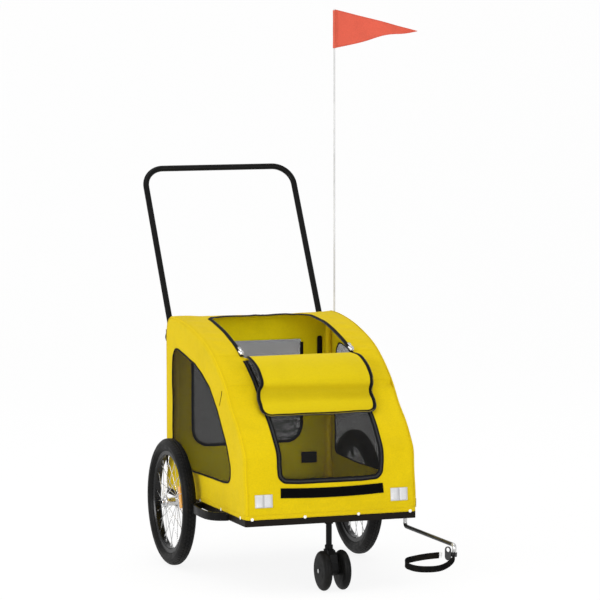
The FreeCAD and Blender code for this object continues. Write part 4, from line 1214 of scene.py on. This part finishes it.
def make_flap():
    outline = [(FLAP_X0, 0.0), (FLAP_X1, 0.0)]
    for x, start in ((FLAP_X1 - FLAP_RADIUS, 0.0), (FLAP_X0 + FLAP_RADIUS, math.pi / 2)):
        for k in range(9):
            turn = start + k / 8 * math.pi / 2
            outline.append((x + FLAP_RADIUS * math.cos(turn),
                            FLAP_CUT - FLAP_RADIUS + FLAP_RADIUS * math.sin(turn)))
    loop = resample(outline, 0.004, closed=True)
    flat_points, faces = triangles(loop, [], 0.008)
    points, normals = lay(flat_points, flap)
    cloth = new_object("door_flap_cloth", points, facing(points, faces, normals),
                       flap_finish(), flat_points)
    thicken(cloth, FABRIC_T)
    soft(cloth, ["door_flap"], body="door_flap")

    # half zip round the three free edges, narrower at the end
    edge = resample(open_part(grow(loop, -0.003), lambda q: q[:, 1] > 0.006), 0.004)
    points, normals = lay(edge, flap)
    away = away_sign(points, normals, flap([0.007], [FLAP_END / 2])[0][0])
    tape, coil, thread = Bag(), Bag(), Bag()
    tape.sweep(points, normals, flat(0.0085, low=-0.0022, high=0.0012),
               scale=1.0 - 0.45 * smooth01((edge[:, 1] - FLAP_END + 0.030) / 0.025))
    coil.teeth(points, normals, away * 0.0056, height=-0.0010, width=0.0040, tall=0.0018)
    thread.stitches(points, normals, (-away * 0.0026, away * 0.0016), height=0.00135)
    for bag, name, mat in ((tape, "zip_tape", BLACK_TAPE), (coil, "zip_coil", COIL),
                           (thread, "stitching", THREAD_K)):
        soft(bag.make("door_flap_" + name, mat), body="door_flap")


def make_zip_sliders():
    # (x, y) in the plane of the slider
    plate = rounded([(-0.0056, -0.0105), (0.0056, -0.0105), (0.0082, 0.001), (0.0082, 0.0105),
                     (0.0020, 0.0088), (-0.0020, 0.0088), (-0.0082, 0.0105),
                     (-0.0082, 0.001)], 0.0018, 0.0012)
    pull_tab = rounded([(-0.0030, -0.002), (0.0030, -0.002), (0.0046, 0.010), (0.0052, 0.019),
                        (0.0036, 0.0235), (-0.0036, 0.0235), (-0.0052, 0.019),
                        (-0.0046, 0.010)], 0.0014, 0.0012)
    # (y, z) of the wire bridge that holds the tab
    bridge = ((-0.0065, 0.0042), (-0.0060, 0.0058), (-0.003, 0.0068), (0.002, 0.0068),
              (0.0045, 0.0058), (0.0050, 0.0042))
    for sign, name in SIDES:
        place = Matrix.Translation((sign * 0.180, -0.292, 0.6929)) @ \
            Matrix.Rotation(math.radians(27), 4, "X")
        bag = Bag()
        for low in (0.0, 0.0030):
            bag.prism(plate, low, low + 0.0014, bevel=0.0004, matrix=place)
        bag.prism(rounded(rectangle(-0.0013, -0.004, 0.0013, 0.006), 0.0006, 0.0008),
                  low=0.0010, high=0.0034, bevel=0.0002, matrix=place)
        wire = cubic([place @ Vector((0, y, z)) for y, z in bridge], 0.0008)
        bag.sweep(wire, (1.0, 0.0, 0.0), round_section(0.0008, 8))
        hang = place @ Matrix.Translation((0, 0.004, 0.0060)) @ \
            Matrix.Rotation(math.radians(-4), 4, "X")
        bag.prism(pull_tab, low=0.0, high=0.0012, bevel=0.0003, matrix=hang)
        node = name + "_zip_slider"
        soft(bag.make(name + "_slider", CHROME), [node], body=node)


# ---------------------------------------------------------------- small hard parts and mat
def make_snaps():
    """Snaps along the lower edge of the cover."""
    z = 0.2262
    # distance out from the cover, radius
    outline = [(0.0, 0.0005), (0.0, 0.0050), (0.0008, 0.0050), (0.0013, 0.0046),
               (0.0014, 0.0040), (0.0010, 0.0036), (0.0012, 0.0032), (0.0020, 0.0024),
               (0.0023, 0.0014), (0.0024, 0.0001)]
    bag = Bag()
    for y in (-0.552, -0.372, -0.174, 0.130):
        for sign, _ in SIDES:
            bag.lathe(outline, (sign * HALF_WIDTH, y, z), (sign, 0, 0), 20)
    for x in (-0.254, -0.086, 0.086, 0.254):
        bag.lathe(outline, (x, -0.6003, z), (0, -1, 0), 20)
    rigid(bag.make("snaps", SNAP), nodes=["snap_fasteners"])


def make_floor_mat():
    """Padded mat, quilted in diamonds."""
    half_width, front, rear = 0.247, -0.552, 0.140
    board_z, quilt_pitch = 0.2226, 0.09
    cols, rows = 80, 110
    x, y = np.meshgrid(np.linspace(-half_width, half_width, cols),
                       np.linspace(front, rear, rows))
    x, y = x.ravel(), y.ravel()
    quilt = (np.abs(np.sin(math.pi * (x + y) / quilt_pitch))
             * np.abs(np.sin(math.pi * (x - y) / quilt_pitch)))
    to_edge = np.minimum(np.minimum(x + half_width, half_width - x),
                         np.minimum(y - front, rear - y))
    z = (board_z + 0.0016 + 0.0042 * np.sqrt(quilt) * smooth01(to_edge / 0.02)
         + 0.0005 * fbm(x * 30, y * 30, octaves=2, seed=2.0))
    obj = new_object("floor_mat", np.stack([x, y, z], 1), quads(rows, cols, wrap_cols=False),
                     FLOOR_MAT, np.stack([x, y], 1))
    thicken(obj, 0.0014)
    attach(obj, "base")
    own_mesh(obj)


def make_strap():
    """Safety strap, standing on edge, and the clip at its end."""
    line = cubic(STRAP, 0.002)
    up = unit(np.cross((0.0, 0.0, 1.0), unit(np.gradient(line, axis=0))))
    section = [(-0.0095, -0.0006), (-0.0092, 0.0007), (-0.005, 0.0009), (0.005, 0.0009),
               (0.0092, 0.0007), (0.0095, -0.0006), (0.0092, -0.0008), (-0.0092, -0.0008)]
    strap, thread = Bag(), Bag()
    strap.sweep(line, up, section)
    thread.stitches(line, up, (-0.0074, 0.0074), height=0.0009, pitch=0.0042)
    rigid(strap.make("safety_webbing", WEB), "tow_arm", ["safety_strap"])
    rigid(thread.make("safety_webbing_stitching", THREAD_K), "tow_arm")

    low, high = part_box("strap_clip")
    # the clip follows the end of the strap, less steeply
    x_axis = Vector(line[-1] - line[-3]).normalized()
    x_axis.z *= 0.4
    x_axis.normalize()
    y_axis = Vector((0, 0, 1)).cross(x_axis).normalized()
    turn = Matrix((x_axis, y_axis, x_axis.cross(y_axis))).transposed().to_4x4()
    place = (Matrix.Translation((low + high) / 2) @ turn
             @ Matrix.Rotation(math.pi / 2, 4, "X"))
    clip = Bag()
    clip.prism(rounded(rectangle(-0.0046, -0.0088, 0.0046, 0.0088), 0.0022, 0.0012),
               low=-0.0017, high=0.0017, bevel=0.0005, matrix=place)
    clip.prism(rounded(rectangle(-0.0030, -0.0030, 0.0030, 0.0030), 0.0010, 0.0010),
               low=-0.0022, high=0.0022, bevel=0.0003, matrix=place)
    rigid(clip.make("webbing_clip", WHITE_PLASTIC), "tow_arm",
          ["strap_clip"])


# ---------------------------------------------------------------- tyres and valves
# Half of the tyre section, (across, radius), from the bead to the crown
TYRE_HALF = [
    (0.0102, 0.1592), (0.0118, 0.1608), (0.0150, 0.1632), (0.0185, 0.1668), (0.0196, 0.1688),
    (0.0203, 0.1690), (0.0208, 0.1720), (0.0211, 0.1770), (0.0209, 0.1800), (0.0213, 0.1812),
    (0.0206, 0.1838), (0.0192, 0.1872), (0.0168, 0.1908), (0.0135, 0.1938), (0.0090, 0.1962),
    (0.0045, 0.1973), (0.0, 0.1976)]
TYRE_SECTION = [(-a, r) for a, r in TYRE_HALF] + TYRE_HALF[::-1][1:]
TREAD_COUNT = 88
# Rows of tread blocks: start, length and skew as shares of the pitch, then the two edges
# across the tyre, the lower and upper radius, and the tilt
TREAD_ROWS = (
    (0.00, 0.90, 0.12, -0.0078, -0.0006, 0.1962, 0.1988, -0.0003),
    (0.50, 0.90, -0.12, 0.0006, 0.0078, 0.1962, 0.1988, 0.0003),
    (0.25, 0.88, 0.04, -0.0150, -0.0088, 0.1925, 0.1957, -0.0019),
    (0.75, 0.88, -0.04, 0.0088, 0.0150, 0.1925, 0.1957, 0.0019),
)


def wheel_point(x, radius, turn):
    return (x, radius * math.sin(turn), WHEEL_Z + radius * math.cos(turn))


def tread_block(bag, wheel_x, turn, pitch, row):
    start, length, skew, edge0, edge1, low, high, tilt = row
    verts = []
    for lift, size in ((0.0, 1.0), (0.85, 1.0), (1.0, 0.80)):
        for side_x, end in ((-1, -1), (1, -1), (1, 1), (-1, 1)):
            across = (edge0 + edge1) / 2 + side_x * (edge1 - edge0) / 2 * size
            angle = (turn + pitch * start + end * pitch * length / 2 * size
                     + pitch * skew * side_x)
            radius = low + (high - low) * lift - tilt * side_x
            verts.append(wheel_point(wheel_x + across, radius, angle))
    bag.add(verts, quads(3, 4) + caps(3, 4)[1:])


def make_tyres():
    segments = 120
    pitch = 2 * math.pi / TREAD_COUNT
    valve_turn, valve_radius = math.radians(18), 0.146
    # distance towards the axle, radius
    valve = [(-0.004, 0.0030), (0.012, 0.0030), (0.0125, 0.0034), (0.016, 0.0034),
             (0.0165, 0.0036), (0.028, 0.0034), (0.030, 0.0026), (0.0305, 0.0001)]
    for sign, name in SIDES:
        wheel_x = sign * WHEEL_X
        bag = Bag()
        verts, uv = [], []
        for i in range(segments):
            turn = 2 * math.pi * i / segments
            for across, radius in TYRE_SECTION:
                verts.append(wheel_point(wheel_x + across, radius, turn))
                uv.append((turn * 0.2, across))
        bag.add(verts, quads(segments, len(TYRE_SECTION), wrap_rows=True, wrap_cols=False,
                             flip=True), uv)
        for i in range(TREAD_COUNT):
            for row in TREAD_ROWS:
                tread_block(bag, wheel_x, 2 * math.pi * i / TREAD_COUNT, pitch, row)
        rigid(bag.make(name + "_tyre_tread", RUBBER), name + "_wheel",
              [name + "_tyre"])
        bag = Bag()
        bag.lathe(valve, wheel_point(wheel_x, valve_radius, valve_turn),
                  (0, -math.sin(valve_turn), -math.cos(valve_turn)), 14)
        rigid(bag.make(name + "_valve", PLASTIC), name + "_wheel")


# ---------------------------------------------------------------- safety flag
def make_flag():
    """Waving pennant that narrows towards its tip at +X, and its sleeve on the pole."""
    cols, rows = 70, 30         # along and up the flag
    length = 0.283
    pole_top, tip_top = 1.7355, 1.6655
    pole_low, tip_low = 1.6130, 1.6635
    verts = []
    for i in range(cols + 1):
        a = i / cols
        x = POLE_X + 0.003 + a * length
        top = pole_top + (tip_top - pole_top) * a ** 1.02
        low = (pole_low + (tip_low - pole_low) * a
               + 0.0085 * math.exp(-((a - 0.66) / 0.21) ** 2) * (1 - a) / 0.34)
        sway = 0.010 * smooth01(a * 1.6) * (1 - 0.35 * a)
        for j in range(rows + 1):
            c = j / rows
            z = low + (top - low) * c
            y = (POLE_Y - 0.0008 + sway * math.sin(a * 7.0 + c * 0.9) * 0.9
                 + 0.004 * a * math.sin(a * 15 + c * 3))
            y = y + 0.0012 * noise.noise(Vector((x * 30, z * 30, 1.0))) * a
            verts.append((x, y, z))
    cloth = new_object("flag_cloth", verts,
                       quads(cols + 1, rows + 1, wrap_cols=False, flip=True), FLAG,
                       [(x, z) for x, y, z in verts])
    thicken(cloth, 0.0006)
    rigid(cloth, nodes=["flag_pennant"])

    sleeve, thread = Bag(), Bag()
    # height, radius
    sleeve.lathe([(0.0, 0.0031), (0.0, 0.0045), (0.004, 0.0047), (0.03, 0.0044),
                  (0.06, 0.0047), (0.09, 0.0044), (0.117, 0.0047), (0.1205, 0.0045),
                  (0.1205, 0.0031)], (POLE_X, POLE_Y, 1.6125), (0, 0, 1), 20)
    rigid(sleeve.make("flag_sleeve", FLAG))
    grid = np.array(verts).reshape(cols + 1, rows + 1, 3)
    for line in (grid[1:, 1], grid[1:-1, -2], grid[2, 1:-1]):
        for face_y in (-1.0, 1.0):
            thread.stitches(line, (0.0, face_y, 0.0), (0.0,), height=0.0006, pitch=0.0052)
    rigid(thread.make("flag_stitching", FLAG))


# ---------------------------------------------------------------- studio
def studio_finish():
    """Glowing white, dimmer in reflections and clear from behind."""
    glow = 1.02
    mat = Mat("studio_floor", grey(0.86), 0.9, spec=0.1)
    light = mat.node("ShaderNodeEmission", {"Color": (1, 1, 1, 1), "Strength": glow})
    glossy = mat.node("ShaderNodeLightPath").outputs["Is Glossy Ray"]
    mat.tree.links.new(mat.ramp(glossy, 0.0, 1.0, to=(glow, 0.60)), light.inputs["Strength"])
    front = mat.blend(0.86, mat.bsdf.outputs[0], light.outputs[0])
    behind = mat.node("ShaderNodeNewGeometry").outputs["Backfacing"]
    clear = mat.node("ShaderNodeBsdfTransparent", {"Color": (1, 1, 1, 1)})
    mat.surface(mat.blend(behind, front, clear.outputs[0]))
    return mat.material


def make_floor():
    """Floor that curves up into a wall behind the trailer."""
    bend_y, radius = 6.0, 3.0
    line = [(-14.0, 0.0), (bend_y, 0.0)]
    for k in range(1, 13):
        turn = k / 12 * math.pi / 2
        line.append((bend_y + radius * math.sin(turn), radius - radius * math.cos(turn)))
    line.append((bend_y + radius, 14.0))
    verts = [(x, y, z - 0.0002) for x in (-16.0, 22.0) for y, z in line]
    faces = quads(2, len(line), wrap_cols=False, flip=True)
    new_object("studio_sweep", verts, faces, studio_finish())


def make_world():
    """White surroundings: dimmer in reflections, brighter to the camera."""
    world = bpy.data.worlds.new("studio")
    bpy.context.scene.world = world
    world.use_nodes = True
    nodes, links = world.node_tree.nodes, world.node_tree.links
    background = nodes["Background"]
    background.inputs["Color"].default_value = (1, 1, 1, 1)
    path = nodes.new("ShaderNodeLightPath")
    total = nodes.new("ShaderNodeMath")
    total.operation = "ADD"
    # ray kind, strength for other rays, strength for this ray
    for i, (ray, others, this) in enumerate((("Is Glossy Ray", 0.80, 0.50),
                                             ("Is Camera Ray", 0.0, 0.18))):
        level = nodes.new("ShaderNodeMapRange")
        level.inputs["To Min"].default_value = others
        level.inputs["To Max"].default_value = this
        links.new(path.outputs[ray], level.inputs["Value"])
        links.new(level.outputs[0], total.inputs[i])
    links.new(total.outputs[0], background.inputs["Strength"])


def area_light(name, place, direction, size, power):
    lamp = bpy.data.lights.new(name, "AREA")
    lamp.shape = "RECTANGLE"
    lamp.size, lamp.size_y = size
    lamp.energy = power
    obj = link_object(name, lamp)
    obj.location = place
    obj.rotation_euler = direction.to_track_quat("-Z", "Y").to_euler()
    obj.visible_camera = False
    return lamp


def make_lights():
    # name, place, target, size, power
    for name, place, target, size, power in (
            ("key", (0.6, -6.4, 2.0), (0, -0.2, 0.5), (3.6, 2.6), 92),
            ("top", (-0.5, 0.2, 5.0), (0, -0.1, 0.4), (3.5, 3.5), 52),
            ("left_fill", (-5.2, -2.2, 1.8), (0, 0, 0.5), (2.8, 2.5), 100)):
        area_light(name, place, Vector(target) - Vector(place), size, power)
    # a small lamp inside the cabin, shining to the rear
    lamp = area_light("cabin_fill", (0.02, -0.43, 0.27), Vector((0.0, 0.62, 0.09)),
                      size=(0.34, 0.10), power=0.55)
    lamp.spread = math.radians(75)


def make_camera():
    data = bpy.data.cameras.new("camera")
    data.sensor_width = 36.0
    data.lens = 212.66
    data.clip_end = 200.0
    camera = link_object("camera", data)
    place = (-3.72886, -10.48084, 1.85462)
    # turned about Z, tipped down, rolled
    turn, tip, roll = (math.radians(angle) for angle in (-20.16053, 5.28847, -0.06417))
    forward = Vector((-math.sin(turn) * math.cos(tip), math.cos(turn) * math.cos(tip),
                      -math.sin(tip)))
    right = forward.cross(Vector((0, 0, 1))).normalized()
    up = right.cross(forward)
    right, up = (right * math.cos(roll) + up * math.sin(roll),
                 up * math.cos(roll) - right * math.sin(roll))
    camera.matrix_world = (Matrix.Translation(place)
                           @ Matrix((right, up, -forward)).transposed().to_4x4())
    bpy.context.scene.camera = camera
    bpy.context.scene.view_settings.view_transform = "Standard"


# ---------------------------------------------------------------- build
paint_nodes()
make_cover()
make_windows()
make_trims()
make_door_binding()
make_side_crease()
make_tabs()
make_hoop_sleeves()
make_boots()
make_front_reflectors()
make_hook_strip()
make_flap()
make_zip_sliders()
make_snaps()
make_floor_mat()
make_strap()
make_tyres()
make_flag()
make_floor()
make_world()
make_lights()
make_camera()
